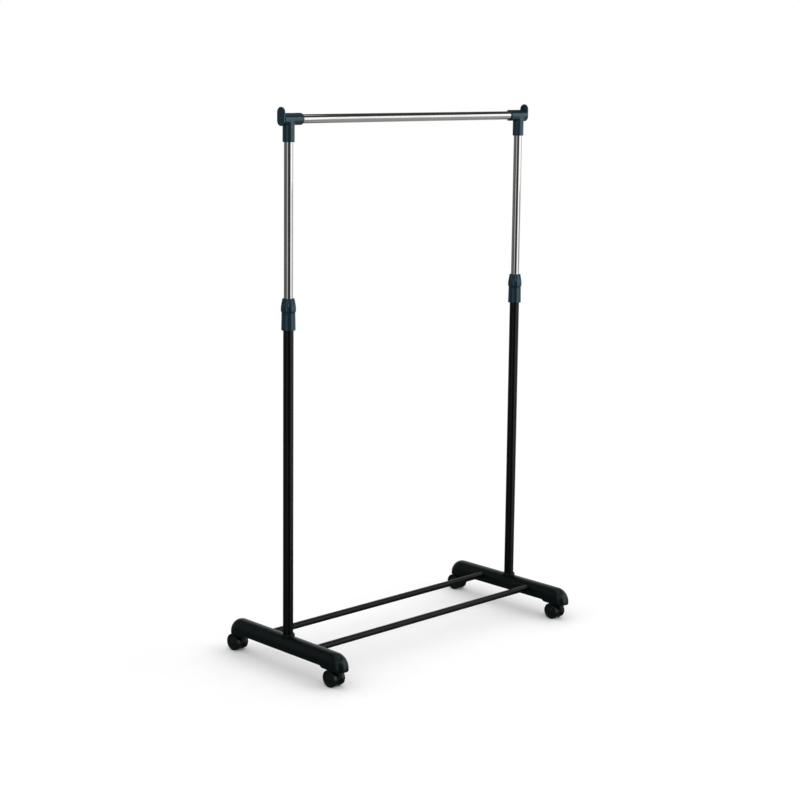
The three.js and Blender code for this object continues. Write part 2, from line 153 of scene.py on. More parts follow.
class Form:
    """A shape in the making, held as a bmesh in metres."""

    ROUND_STEPS = 64
    ROUNDING_SEGMENTS = 4
    SMOOTH_BELOW = math.radians(32)

    def __init__(self, mesh: bmesh.types.BMesh) -> None:
        """Takes over a bmesh."""
        self.mesh = mesh

    @classmethod
    def turned(cls, outline: Sequence[Corner], steps: int = ROUND_STEPS) -> "Form":
        """Turns an outline about the Z axis.

        Args:
            outline: the corners in order; a solid form's outline has two of them on the axis.
            steps: facets around the form.

        Returns:
            A closed form.
        """
        mesh = bmesh.new()
        corners = [mesh.verts.new((corner.out, 0.0, corner.up)) for corner in outline]
        mesh.faces.new(corners)
        for vertex, corner in zip(corners, outline):
            if corner.round:
                bmesh.ops.bevel(
                    mesh, geom=[vertex], offset=corner.round, offset_type="OFFSET", affect="VERTICES",
                    segments=cls.ROUNDING_SEGMENTS, profile=0.5, material=-1,
                )
        bmesh.ops.delete(mesh, geom=mesh.faces[:], context="FACES_ONLY")
        on_axis = [edge for edge in mesh.edges if all(abs(v.co.x) < WELD for v in edge.verts)]
        bmesh.ops.delete(mesh, geom=on_axis, context="EDGES_FACES")
        bmesh.ops.spin(
            mesh, geom=mesh.verts[:] + mesh.edges[:], cent=(0, 0, 0), axis=(0, 0, 1), dvec=(0, 0, 0),
            angle=2 * math.pi, steps=steps, use_merge=True, use_duplicate=False,
        )
        return cls(mesh).welded()

    @classmethod
    def bar(
        cls, radius: float, low: float, high: float, edges: Band = (0.0, 0.0), steps: int = ROUND_STEPS,
    ) -> "Form":
        """A round bar between two heights.

        Args:
            radius: the bar's radius.
            low: the height of its lower end.
            high: the height of its upper end.
            edges: the rounding of the lower and of the upper end.
            steps: facets around the bar.

        Returns:
            A closed form.
        """
        rims = [Corner(radius, low, edges[0]), Corner(radius, high, edges[1])]
        return cls.turned([Corner(0, low), *rims, Corner(0, high)], steps)

    @classmethod
    def tube(cls, inner: float, outer: float, low: float, high: float, edge: float = 0.2 * MM) -> "Form":
        """A tube between two heights.

        Args:
            inner: the bore's radius.
            outer: the outer radius.
            low: the height of its lower end.
            high: the height of its upper end.
            edge: the rounding of its rims.

        Returns:
            A closed form.
        """
        return cls.turned([
            Corner(inner, low, edge), Corner(outer, low, edge),
            Corner(outer, high, edge), Corner(inner, high, edge),
        ])

    @classmethod
    def block(cls, low: Sequence[float], high: Sequence[float]) -> "Form":
        """A box.

        Args:
            low: its lowest corner.
            high: its highest corner.

        Returns:
            A closed form.
        """
        mesh = bmesh.new()
        first, last = Vector(low), Vector(high)
        size = Matrix.Diagonal((*(last - first), 1.0))
        bmesh.ops.create_cube(mesh, size=1.0, matrix=Matrix.Translation((first + last) / 2) @ size)
        return cls(mesh)

    @classmethod
    def together(cls, forms: Sequence["Form"]) -> "Form":
        """Takes several forms as one, without joining them.

        Args:
            forms: the forms, which stay as they are.

        Returns:
            A form with all of them.
        """
        mesh = bmesh.new()
        for form in forms:
            part = bpy.data.meshes.new("part")
            form.mesh.to_mesh(part)
            mesh.from_mesh(part)
            bpy.data.meshes.remove(part)
        return cls(mesh)

    def welded(self) -> "Form":
        """Merges doubled vertices and turns the faces outwards.

        Returns:
            The form itself.
        """
        bmesh.ops.remove_doubles(self.mesh, verts=self.mesh.verts[:], dist=WELD)
        bmesh.ops.recalc_face_normals(self.mesh, faces=self.mesh.faces[:])
        return self

    def moved(self, x: float = 0.0, y: float = 0.0, z: float = 0.0) -> "Form":
        """Shifts the form."""
        bmesh.ops.translate(self.mesh, verts=self.mesh.verts[:], vec=(x, y, z))
        return self

    def rotated(self, degrees: float, axis: str) -> "Form":
        """Turns the form.

        Args:
            degrees: how far.
            axis: the axis that it turns about, through the origin.

        Returns:
            The form itself.
        """
        turn = Matrix.Rotation(math.radians(degrees), 3, axis)
        bmesh.ops.rotate(self.mesh, verts=self.mesh.verts[:], cent=(0, 0, 0), matrix=turn)
        return self

    def along_x(self) -> "Form":
        """Lays a form that was turned about Z along X."""
        return self.rotated(90, "Y")

    def copied(self) -> "Form":
        """A copy of the form."""
        return Form(self.mesh.copy())

    def sharp_edges(self) -> list[bmesh.types.BMEdge]:
        """Finds the edges that stay crisp.

        Returns:
            The edges whose faces meet at more than the smoothed angle.
        """
        return [
            edge for edge in self.mesh.edges
            if len(edge.link_faces) == 2 and edge.calc_face_angle() > self.SMOOTH_BELOW
        ]

    def softened(self, width: float, segments: int = 2) -> "Form":
        """Rounds every crisp edge.

        Args:
            width: how far the rounding reaches.
            segments: the facets of the rounding.

        Returns:
            The form itself.
        """
        bmesh.ops.bevel(
            self.mesh, geom=self.sharp_edges(), offset=width, offset_type="OFFSET", affect="EDGES",
            segments=segments, profile=0.5, clamp_overlap=True, material=-1,
        )
        return self

    def capped(self) -> "Form":
        """Closes the form's open rim.

        Returns:
            The form itself.
        """
        rim = [edge for edge in self.mesh.edges if edge.is_boundary]
        bmesh.ops.holes_fill(self.mesh, edges=rim, sides=0)
        return self.welded()

    def thickened(self, wall: float) -> "Form":
        """Gives an open shell a wall on its inner side."""
        return self._through("SOLIDIFY", thickness=wall, offset=-1.0, use_even_offset=True, use_rim=True)

    def joined(self, other: "Form") -> "Form":
        """The form and another as one solid."""
        return self._with(other, "UNION")

    def cut(self, other: "Form") -> "Form":
        """The form less another."""
        return self._with(other, "DIFFERENCE")

    def within(self, other: "Form") -> "Form":
        """What of the form lies in another."""
        return self._with(other, "INTERSECT")

    def _with(self, other: "Form", operation: str) -> "Form":
        """Combines two solids and frees both.

        Args:
            other: the second solid.
            operation: what is made of them.

        Returns:
            The new solid.
        """
        tool = other.loose_object("tool")
        made = self._through("BOOLEAN", object=tool, operation=operation, solver="MANIFOLD")
        discard(tool)
        bmesh.ops.dissolve_degenerate(made.mesh, dist=WELD, edges=made.mesh.edges[:])
        return made

    def _through(self, modifier: str, **settings: object) -> "Form":
        """Puts the form through one modifier and frees it.

        Args:
            modifier: the modifier's type.
            settings: its properties.

        Returns:
            The new form.
        """
        subject = self.loose_object("subject")
        step = subject.modifiers.new(modifier.lower(), modifier)
        for name, value in settings.items():
            setattr(step, name, value)
        evaluated = subject.evaluated_get(bpy.context.evaluated_depsgraph_get())
        mesh = bmesh.new()
        mesh.from_mesh(evaluated.to_mesh())
        evaluated.to_mesh_clear()
        discard(subject)
        return Form(mesh)

    def loose_object(self, name: str) -> bpy.types.Object:
        """Makes the form an object of the scene and frees its bmesh.

        Args:
            name: the object's name.

        Returns:
            The object, at the origin.
        """
        mesh = bpy.data.meshes.new(name)
        self.mesh.to_mesh(mesh)
        self.mesh.free()
        made = bpy.data.objects.new(name, mesh)
        bpy.context.scene.collection.objects.link(made)
        return made

    def finished(self, node: str, kind: str, finish: "Finish", place: Matrix = IN_PLACE) -> None:
        """Puts the form in the scene in place of a node of the frame.

        Args:
            node: the plain solid that it stands for.
            kind: what the piece is, added to its name.
            finish: its surface.
            place: from the form's own place to the rack's.
        """
        bmesh.ops.transform(self.mesh, matrix=place, verts=self.mesh.verts[:])
        for face in self.mesh.faces:
            face.smooth = True
        for edge in self.sharp_edges():
            edge.smooth = False
        piece = self.loose_object(f"{node}_{kind}")
        piece.data.materials.append(finish.material())
        shading = piece.modifiers.new("even shading", "WEIGHTED_NORMAL")
        shading.keep_sharp = True
        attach(piece, BODY_OF[node])
        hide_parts(node)
        LOG.info("%s: %d faces in %s", piece.name, len(piece.data.polygons), finish.name)


def discard(scrap: bpy.types.Object) -> None:
    """Removes a temporary object and its mesh.

    Args:
        scrap: the object.
    """
    mesh = scrap.data
    bpy.data.objects.remove(scrap)
    bpy.data.meshes.remove(mesh)


# ---- shader effects that more than one finish uses --------------------------------------------


class Bench:
    """A node tree with short ways to place and wire nodes."""

    def __init__(self, tree: bpy.types.NodeTree) -> None:
        """Works on a tree."""
        self.tree = tree

    def feed(self, target: Socket, value: object) -> None:
        """Gives an input what it takes.

        Args:
            target: the input.
            value: a socket to link to it, or its own value.
        """
        if isinstance(value, bpy.types.NodeSocket):
            self.tree.links.new(value, target)
        elif target.type == "RGBA":
            target.default_value = (*value, 1.0)
        else:
            target.default_value = value

    def fill(self, made: bpy.types.Node, **inputs: object) -> None:
        """Feeds a node's inputs, named with underscores for spaces."""
        for name, value in inputs.items():
            self.feed(made.inputs[name.replace("_", " ")], value)

    def node(self, kind: str, settings: dict[str, object] | None = None, **inputs: object) -> bpy.types.Node:
        """Adds a node.

        Args:
            kind: the node's type, without its ShaderNode prefix.
            settings: properties of the node.
            inputs: sockets or values by input name, with underscores for spaces.

        Returns:
            The new node.
        """
        made = self.tree.nodes.new("ShaderNode" + kind)
        for name, value in (settings or {}).items():
            setattr(made, name, value)
        self.fill(made, **inputs)
        return made

    def ordered(self, made: bpy.types.Node, *values: object) -> Socket:
        """Feeds a node's inputs in order.

        Args:
            made: the node.
            values: sockets or values.

        Returns:
            Its first output.
        """
        for target, value in zip(made.inputs, values):
            self.feed(target, value)
        return made.outputs[0]

    def math(self, operation: str, *values: object) -> Socket:
        """The result of a Math node."""
        return self.ordered(self.node("Math", {"operation": operation}), *values)

    def ranged(self, value: Socket, band: Band, low: float = 0.0, high: float = 1.0) -> Socket:
        """A value mapped from a band to low..high and kept there."""
        return self.ordered(self.node("MapRange", {"clamp": True}), value, *band, low, high)

    def blended(self, factor: Socket, first: object, second: object) -> Socket:
        """Mixes two colours.

        Args:
            factor: how much of the second there is.
            first: the first colour.
            second: the second colour.

        Returns:
            The mixed colour.
        """
        made = self.node("Mix", {"data_type": "RGBA"})
        colours = [socket for socket in made.inputs if socket.type == "RGBA"]
        for target, value in zip((made.inputs[0], *colours), (factor, first, second)):
            self.feed(target, value)
        return next(socket for socket in made.outputs if socket.type == "RGBA")

    def noise(self, place: Socket, scale: object, detail: float, roughness: float = 0.55) -> Socket:
        """A noise texture's value."""
        made = self.node("TexNoise", Vector=place, Scale=scale, Detail=detail, Roughness=roughness)
        return made.outputs[0]

    def stretched(self, place: Socket, scale: Sequence[float]) -> Socket:
        """Coordinates scaled along each axis."""
        return self.node("Mapping", Vector=place, Scale=scale).outputs[0]

    def uneven(self, base: object, spread: object, *varied: Socket) -> Socket:
        """A value that strays from its base.

        Args:
            base: the value itself.
            spread: how far it strays.
            varied: sockets that stray from 0, added together.

        Returns:
            The straying value.
        """
        return self.math("ADD", base, self.math("MULTIPLY", self.math("ADD", *varied), spread))

    def centred(self, value: Socket) -> Socket:
        """A value of 0 to 1, less its middle."""
        return self.math("SUBTRACT", value, 0.5)

    def cover(self, shader: bpy.types.Node, colour: Socket, roughness: Socket, bump: bpy.types.Node) -> None:
        """Feeds a surface what varies over it."""
        self.fill(shader, Base_Color=colour, Roughness=roughness, Normal=bump.outputs[0])


class SocketKind(Enum):
    """The kinds of socket that an effect has."""

    VALUE = "NodeSocketFloat"
    COLOUR = "NodeSocketColor"
    PLACE = "NodeSocketVector"


class Effect:
    """A shader node group, built the first time that a finish asks for it."""

    AS_STRETCHED = 1.0  # the scale of a noise whose coordinates are scaled already

    name = "effect"
    inputs: dict[str, SocketKind] = {}
    outputs: dict[str, SocketKind] = {}

    def group(self) -> bpy.types.NodeTree:
        """Finds or builds the node group.

        Returns:
            The group's tree.
        """
        known = bpy.data.node_groups.get(self.name)
        if known is not None:
            return known
        tree = bpy.data.node_groups.new(self.name, "ShaderNodeTree")
        for way, sockets in (("INPUT", self.inputs), ("OUTPUT", self.outputs)):
            for label, kind in sockets.items():
                tree.interface.new_socket(name=label, in_out=way, socket_type=kind.value)
        start = tree.nodes.new("NodeGroupInput")
        end = tree.nodes.new("NodeGroupOutput")
        bench = Bench(tree)
        bench.fill(end, **self.wire(bench, start.outputs))
        return tree

    def wire(self, bench: Bench, given: Sequence[Socket]) -> dict[str, Socket]:
        """Wires the inside of the group.

        Args:
            bench: the group's tree.
            given: the group's inputs by name.

        Returns:
            The socket for each output.
        """
        raise NotImplementedError

    def placed(self, bench: Bench, **inputs: object) -> Sequence[Socket]:
        """Places the group in a material.

        Args:
            bench: the material's tree.
            inputs: sockets or values by input name.

        Returns:
            The group's outputs.
        """
        made = bench.tree.nodes.new("ShaderNodeGroup")
        made.node_tree = self.group()
        bench.fill(made, **inputs)
        return made.outputs


class Grain(Effect):
    """The fine even texture of a mould or of a powder coat."""

    FINE_SHARE = 0.6
    CELL_SHARE = 0.4
    GLOSS_PATCH_SCALE = 24.0

    name = "moulded grain"
    inputs = {
        "Place": SocketKind.PLACE, "Scale": SocketKind.VALUE,
        "Roughness": SocketKind.VALUE, "Spread": SocketKind.VALUE,
    }
    outputs = {"Height": SocketKind.VALUE, "Roughness": SocketKind.VALUE}

    def wire(self, bench: Bench, given: Sequence[Socket]) -> dict[str, Socket]:
        """Wires fine noise over soft cells, with broad patches of slightly different gloss.

        Args:
            bench: the group's tree.
            given: the group's inputs by name.

        Returns:
            The grain's height and the varied roughness.
        """
        fine = bench.noise(given["Place"], given["Scale"], detail=3.0)
        cells = bench.node(
            "TexVoronoi", {"feature": "SMOOTH_F1"}, Vector=given["Place"], Scale=given["Scale"],
        ).outputs["Distance"]
        broad = bench.noise(given["Place"], self.GLOSS_PATCH_SCALE, detail=3.0)
        height = bench.math(
            "ADD", bench.math("MULTIPLY", fine, self.FINE_SHARE),
            bench.math("MULTIPLY", cells, self.CELL_SHARE),
        )
        strayed = bench.uneven(
            given["Roughness"], given["Spread"], bench.centred(broad), bench.centred(fine),
        )
        return {"Height": height, "Roughness": strayed}


class Draw(Effect):
    """Faint lines along a drawn or polished tube, with smudges from handling."""

    SMUDGE_SCALE = 9.0
    SMUDGE_BAND = (0.5, 0.8)
    BRIGHTEST = 0.02

    name = "drawn lines"
    inputs = {
        "Place": SocketKind.PLACE, "Lines": SocketKind.PLACE,
        "Roughness": SocketKind.VALUE, "Spread": SocketKind.VALUE,
    }
    outputs = {"Height": SocketKind.VALUE, "Roughness": SocketKind.VALUE, "Smudge": SocketKind.VALUE}

    def wire(self, bench: Bench, given: Sequence[Socket]) -> dict[str, Socket]:
        """Wires noise on stretched coordinates for the lines, and patches of it for the smudges.

        Args:
            bench: the group's tree.
            given: the group's inputs by name.

        Returns:
            The lines' height, the varied roughness and the smudges.
        """
        lines = bench.noise(given["Lines"], self.AS_STRETCHED, detail=1.5, roughness=0.5)
        patches = bench.noise(given["Place"], self.SMUDGE_SCALE, detail=1.0)
        smudge = bench.ranged(patches, self.SMUDGE_BAND)
        strayed = bench.uneven(given["Roughness"], given["Spread"], bench.centred(lines), smudge)
        rough = bench.math("MAXIMUM", strayed, self.BRIGHTEST)
        return {"Height": lines, "Roughness": rough, "Smudge": smudge}


class Patina(Effect):
    """A second colour laid over the first where its mask says so."""

    outputs = {"Colour": SocketKind.COLOUR, "Mark": SocketKind.VALUE}

    def mask(self, bench: Bench, given: Sequence[Socket]) -> tuple[Socket, Socket]:
        """Wires the two masks that together say where the second colour shows.

        Args:
            bench: the group's tree.
            given: the group's inputs by name.

        Returns:
            The two masks.
        """
        raise NotImplementedError

    def wire(self, bench: Bench, given: Sequence[Socket]) -> dict[str, Socket]:
        """Wires the masks over the colour.

        Args:
            bench: the group's tree.
            given: the group's inputs by name.

        Returns:
            The marked colour and the marks.
        """
        first, second = self.mask(bench, given)
        mark = bench.math("MULTIPLY", bench.math("MULTIPLY", first, second), given["Amount"])
        return {"Colour": bench.blended(mark, given["Colour"], given["Over"]), "Mark": mark}


class Rubbing(Patina):
    """Thin paler marks where a surface has been rubbed."""

    LINE_BAND = (0.60, 0.74)
    PATCH_SCALE = 17.0
    PATCH_BAND = (0.5, 0.68)

    name = "rubbed marks"
    inputs = {
        "Place": SocketKind.PLACE, "Lines": SocketKind.PLACE, "Amount": SocketKind.VALUE,
        "Colour": SocketKind.COLOUR, "Over": SocketKind.COLOUR,
    }

    def mask(self, bench: Bench, given: Sequence[Socket]) -> tuple[Socket, Socket]:
        """Wires stretched noise kept to its peaks, in patches.

        Args:
            bench: the group's tree.
            given: the group's inputs by name.

        Returns:
            The lines and the patches.
        """
        lines = bench.noise(given["Lines"], self.AS_STRETCHED, detail=5.0, roughness=0.7)
        patches = bench.noise(given["Place"], self.PATCH_SCALE, detail=2.0)
        return bench.ranged(lines, self.LINE_BAND), bench.ranged(patches, self.PATCH_BAND)


class Dust(Patina):
    """A little pale dust on what faces up."""

    UPWARD_BAND = (0.35, 1.0)
    SPECK_SCALE = 520.0
    SPECK_BAND = (0.42, 0.7)

    name = "settled dust"
    inputs = {
        "Place": SocketKind.PLACE, "Amount": SocketKind.VALUE,
        "Colour": SocketKind.COLOUR, "Over": SocketKind.COLOUR,
    }

    def mask(self, bench: Bench, given: Sequence[Socket]) -> tuple[Socket, Socket]:
        """Wires the upward part of the normal, broken up by noise.

        Args:
            bench: the group's tree.
            given: the group's inputs by name.

        Returns:
            What faces up, and the specks.
        """
        normal = bench.node("NewGeometry").outputs["Normal"]
        upward = bench.ranged(bench.node("SeparateXYZ", Vector=normal).outputs["Z"], self.UPWARD_BAND)
        specks = bench.noise(given["Place"], self.SPECK_SCALE, detail=6.0, roughness=0.7)
        return upward, bench.ranged(specks, self.SPECK_BAND)


# ---- finishes ---------------------------------------------------------------------------------


class Grainway(Enum):
    """The way that lines run on a surface, as the scale of their coordinates along each axis."""

    UPRIGHT = (900.0, 900.0, 2.5)
    LENGTHWISE = (2.5, 900.0, 900.0)
    ROUND_ABOUT = (60.0, 60.0, 1400.0)


@dataclass(frozen=True)
class Finish:
    """A surface of the rack."""

    name: str
    colour: Colour
    roughness: float

    def material(self) -> bpy.types.Material:
        """Finds or makes the finish's material.

        Returns:
            The material.
        """
        known = bpy.data.materials.get(self.name)
        if known is not None:
            return known
        made = bpy.data.materials.new(self.name)
        made.use_nodes = True
        bench = Bench(made.node_tree)
        self.dress(bench, made.node_tree.nodes["Principled BSDF"], bench.node("TexCoord").outputs["Object"])
        return made

    def dress(self, bench: Bench, shader: bpy.types.Node, place: Socket) -> None:
        """Wires the finish.

        Args:
            bench: the material's tree.
            shader: its Principled BSDF.
            place: the piece's own coordinates.
        """
        raise NotImplementedError


@dataclass(frozen=True)
class Moulding(Finish):
    """Moulded plastic with a fine satin texture, lightly rubbed and dusty."""

    rubbed: Colour = (0.02, 0.024, 0.026)
    rubbing: float = 0.3
    dust: float = 0.012
    dust_colour: Colour = (0.36, 0.35, 0.33)
    grain_scale: float = 2600.0
    grain_depth: float = 0.00003
    spread: float = 0.10
    way: Grainway = Grainway.LENGTHWISE
    specular: float = 0.7
    sheen: Colour = (0.78, 1.0, 0.94)

    def dress(self, bench: Bench, shader: bpy.types.Node, place: Socket) -> None:
        """Wires rubbed marks and dust over the colour, and grain in the gloss and the height.

        Args:
            bench: the material's tree.
            shader: its Principled BSDF.
            place: the piece's own coordinates.
        """
        grain = Grain().placed(
            bench, Place=place, Scale=self.grain_scale, Roughness=self.roughness, Spread=self.spread,
        )
        marks = Rubbing().placed(
            bench, Place=place, Lines=bench.stretched(place, self.way.value), Amount=self.rubbing,
            Colour=self.colour, Over=self.rubbed,
        )
        dusty = Dust().placed(
            bench, Place=place, Amount=self.dust, Colour=marks["Colour"], Over=self.dust_colour,
        )
        bump = bench.node("Bump", Strength=1.0, Distance=self.grain_depth, Height=grain["Height"])
        bench.cover(shader, dusty["Colour"], grain["Roughness"], bump)
        bench.fill(shader, Specular_IOR_Level=self.specular, Specular_Tint=self.sheen)


@dataclass(frozen=True)
class PowderCoat(Finish):
    """Satin powder coat on steel tube, with its orange peel and a cool cast in broad patches."""

    cast: Colour = (0.0013, 0.0012, 0.0028)
    cast_scale: tuple[float, float, float] = (30.0, 30.0, 6.0)
    cast_band: Band = (0.35, 0.65)
    rubbed: Colour = (0.012, 0.012, 0.013)
    rubbing: float = 0.25
    specular: float = 0.28
    sheen: Colour = (0.95, 1.0, 0.96)
    coat: float = 0.08
    coat_roughness: float = 0.22
    peel_scale: float = 760.0
    peel_depth: float = 0.00006
    peel_strength: float = 0.6
    spread: float = 0.08
    way: Grainway = Grainway.UPRIGHT

    def dress(self, bench: Bench, shader: bpy.types.Node, place: Socket) -> None:
        """Wires a cast and rubbed marks over the colour, and orange peel in the height.

        Args:
            bench: the material's tree.
            shader: its Principled BSDF.
            place: the piece's own coordinates.
        """
        grain = Grain().placed(
            bench, Place=place, Scale=self.peel_scale, Roughness=self.roughness, Spread=self.spread,
        )
        broad = bench.noise(bench.stretched(place, self.cast_scale), Effect.AS_STRETCHED, detail=2.0)
        marks = Rubbing().placed(
            bench, Place=place, Lines=bench.stretched(place, self.way.value), Amount=self.rubbing,
            Colour=bench.blended(bench.ranged(broad, self.cast_band), self.colour, self.cast),
            Over=self.rubbed,
        )
        bump = bench.node(
            "Bump", Strength=self.peel_strength, Distance=self.peel_depth, Height=grain["Height"],
        )
        bench.cover(shader, marks["Colour"], grain["Roughness"], bump)
        bench.fill(shader, Specular_IOR_Level=self.specular, Specular_Tint=self.sheen)
        bench.fill(shader, Coat_Weight=self.coat, Coat_Roughness=self.coat_roughness)


@dataclass(frozen=True)
class Plating(Finish):
    """Bright chrome or zinc plate on drawn steel."""

    smudged: Colour = (0.66, 0.655, 0.64)
    spread: float = 0.03
    line_depth: float = 0.0000005
    line_strength: float = 0.5
    way: Grainway = Grainway.UPRIGHT

    def dress(self, bench: Bench, shader: bpy.types.Node, place: Socket) -> None:
        """Wires lines and smudges in the gloss, and hardly any in the height.

        Args:
            bench: the material's tree.
            shader: its Principled BSDF.
            place: the piece's own coordinates.
        """
        draw = Draw().placed(
            bench, Place=place, Lines=bench.stretched(place, self.way.value),
            Roughness=self.roughness, Spread=self.spread,
        )
        bump = bench.node(
            "Bump", Strength=self.line_strength, Distance=self.line_depth, Height=draw["Height"],
        )
        colour = bench.blended(draw["Smudge"], self.colour, self.smudged)
        bench.cover(shader, colour, draw["Roughness"], bump)
        bench.fill(shader, Metallic=1.0)


FOOT_PLASTIC = Moulding(
    "black moulded plastic", (0.0009, 0.0014, 0.0019), 0.34, specular=0.55, sheen=(0.70, 1.0, 0.96),
)
SLATE_PLASTIC = Moulding(
    "slate moulded plastic", (0.0028, 0.0130, 0.0230), 0.28, rubbed=(0.03, 0.06, 0.08), specular=1.0,
    sheen=(0.55, 0.88, 1.0), way=Grainway.UPRIGHT,
)
WHEEL_PLASTIC = Moulding(
    "wheel nylon", (0.0020, 0.0021, 0.0024), 0.40, rubbed=(0.05, 0.048, 0.045), rubbing=0.5,
    grain_scale=1800.0, way=Grainway.ROUND_ABOUT,
)
NATURAL_PLASTIC = Moulding(
    "natural nylon", (0.55, 0.54, 0.49), 0.42, rubbed=(0.4, 0.39, 0.36), grain_scale=1500.0,
    specular=0.5, sheen=(1.0, 1.0, 1.0),
)
BLACK_PAINT = PowderCoat("black powder coat", (0.0008, 0.0012, 0.0022), 0.30)
BAR_PAINT = PowderCoat(
    "black powder coat on the crossbars", (0.0016, 0.0026, 0.0018), 0.36, cast=(0.0026, 0.0034, 0.0022),
    sheen=(0.9, 1.0, 0.86), way=Grainway.LENGTHWISE,
)
POLE_CHROME = Plating("chrome on the poles", (0.73, 0.735, 0.715), 0.075)
RAIL_CHROME = Plating("chrome on the rail", (0.74, 0.74, 0.715), 0.08, way=Grainway.LENGTHWISE)
ZINC = Plating("zinc plate", (0.52, 0.53, 0.55), 0.30, smudged=(0.42, 0.43, 0.42), spread=0.12)


# ---- assemblies -------------------------------------------------------------------------------


@dataclass
class EndAssembly:
    """Pieces at one end of the rack, made about an axis of their own."""

    hand: Hand

    @property
    def place(self) -> Matrix:
        """Moves a form from the pieces' own axis to its place on the rack."""
        return self.hand.place

    def node(self, stem: str) -> str:
        """The name of one of the assembly's nodes."""
        return self.hand.node(stem)

    def box(self, stem: str) -> Box:
        """The box of one of the assembly's nodes."""
        return Box.of(self.node(stem))

    def put(self, form: Form, stem: str, kind: str, finish: Finish) -> None:
        """Dresses a form and puts it in place of one of the assembly's nodes."""
        form.finished(self.node(stem), kind, finish, self.place)


# ---- foot -------------------------------------------------------------------------------------


def ease(share: float) -> float:
    """Eases a share from 0 to 1 at both of its ends."""
    kept = min(max(share, 0.0), 1.0)
    return kept * kept * (3 - 2 * kept)


@dataclass
class Foot(EndAssembly):
    """A moulded foot: a shell with a half-round top, sockets and ribs, about the pole's axis."""

    wall: float = 2.8 * MM
    skirt_depth: float = 4.5 * MM
    skirt_length: float = 67 * MM
    skirt_ramp: float = 7 * MM
    ring_rise: float = 4 * MM
    ring_radius: float = 16.5 * MM
    ring_round: float = 1.2 * MM
    bore_flare: float = 0.6 * MM
    recess: float = 3 * MM
    rib: float = 2 * MM
    rib_places: Band = (125 * MM, 42 * MM)
    boss_wall: float = 2.2 * MM
    rim_round: float = 0.5 * MM
    seat: float = 4 * MM
    screw_bore: float = 3.1 * MM
    top_steps: int = 32
    end_steps: int = 18

    def __post_init__(self) -> None:
        """Takes the foot's sizes from the frame."""
        box = self.box("foot")
        self.half_width = box.size.x / 2
        self.half_length = box.size.y / 2
        self.underside = box.low.z + self.skirt_depth
        self.ring_top = box.high.z
        self.crest = self.ring_top - self.ring_rise
        self.bend = self.half_length - (self.crest - self.underside)
        self.pole = self.box("lower_pole")

    def _half_arch(self) -> bmesh.types.BMesh:
        """Draws the section at the middle of the foot, open below.

        Returns:
            Its outline.
        """
        mesh = bmesh.new()
        spring = self.crest - self.half_width
        start = mesh.verts.new((self.half_width, 0.0, spring))
        bmesh.ops.spin(
            mesh, geom=[start], cent=(0, 0, spring), axis=(0, -1, 0), dvec=(0, 0, 0), angle=math.pi,
            steps=self.top_steps, use_merge=False, use_duplicate=False,
        )
        ends = [vertex for vertex in mesh.verts if abs(vertex.co.z - spring) < WELD]
        low = bmesh.ops.extrude_vert_indiv(mesh, verts=ends)["verts"]
        bmesh.ops.translate(mesh, verts=low, vec=(0, 0, self.underside - spring))
        return mesh

    def _skin(self) -> Form:
        """Draws the section along the foot and turns it down at the ends, over the skirt.

        Returns:
            The outer skin, open below.
        """
        mesh = self._half_arch()
        skirt = self.half_length - self.skirt_length
        stations = [skirt - self.skirt_ramp / 2, skirt, skirt + self.skirt_ramp / 2, self.bend]
        edges = mesh.edges[:]
        reached = 0.0
        for station in stations:
            drawn = bmesh.ops.extrude_edge_only(mesh, edges=edges)["geom"]
            edges = [item for item in drawn if isinstance(item, bmesh.types.BMEdge)]
            front = [item for item in drawn if isinstance(item, bmesh.types.BMVert)]
            bmesh.ops.translate(mesh, verts=front, vec=(0, station - reached, 0))
            reached = station
        bmesh.ops.spin(
            mesh, geom=front + edges, cent=(0, self.bend, self.underside), axis=(-1, 0, 0),
            dvec=(0, 0, 0), angle=math.pi / 2, steps=self.end_steps, use_merge=False, use_duplicate=False,
        )
        bmesh.ops.remove_doubles(mesh, verts=mesh.verts[:], dist=WELD)
        for vertex in mesh.verts:
            if vertex.co.z < self.underside + WELD:
                vertex.co.z -= self.skirt_depth * ease((vertex.co.y - stations[0]) / self.skirt_ramp)
        bmesh.ops.mirror(mesh, geom=mesh.verts[:] + mesh.edges[:] + mesh.faces[:], axis="Y", merge_dist=WELD)
        return Form(mesh).welded()

    def _castor_sockets(self, radius: float, low: float, rise: float | None = None) -> list[Form]:
        """Makes a rod on each castor's stem.

        Args:
            radius: the rod's radius.
            low: the height of its lower end.
            rise: how far it passes the bush in the foot, or None to reach the crest.

        Returns:
            The front rod and the rear one.
        """
        rods = []
        for depth in Depth:
            bush = self.box(depth.node("castor_socket"))
            high = self.crest if rise is None else bush.high.z + rise
            rods.append(Form.bar(radius, low, high, steps=40).moved(y=bush.middle.y - self.pole.middle.y))
        return rods

    def _bar_sockets(self, wall: float, start: float) -> list[Form]:
        """Makes a rod round the end of each crossbar.

        Args:
            wall: how far it stands off the bar's bore, to the side and past the bar's end.
            start: where it starts, outwards of the pole's axis.

        Returns:
            The front rod and the rear one.
        """
        rods = []
        for depth in Depth:
            bar = Box.of(depth.node("crossbar"))
            radius = bar.radius("z") + FIT + wall
            end = bar.high.x - Box.of("lower_pole_right").middle.x + FIT + wall
            rod = Form.bar(radius, start, end, steps=48).along_x()
            rods.append(rod.moved(y=bar.middle.y - self.pole.middle.y, z=bar.middle.z))
        return rods

    def _ribs(self) -> list[Form]:
        """Makes the cross ribs under the crest.

        Returns:
            The four ribs.
        """
        low, high = self.underside + self.recess, self.crest
        half = self.rib / 2
        return [
            Form.block(
                (-self.half_width, side * distance - half, low),
                (self.half_width, side * distance + half, high),
            )
            for distance in self.rib_places for side in (-1, 1)
        ]

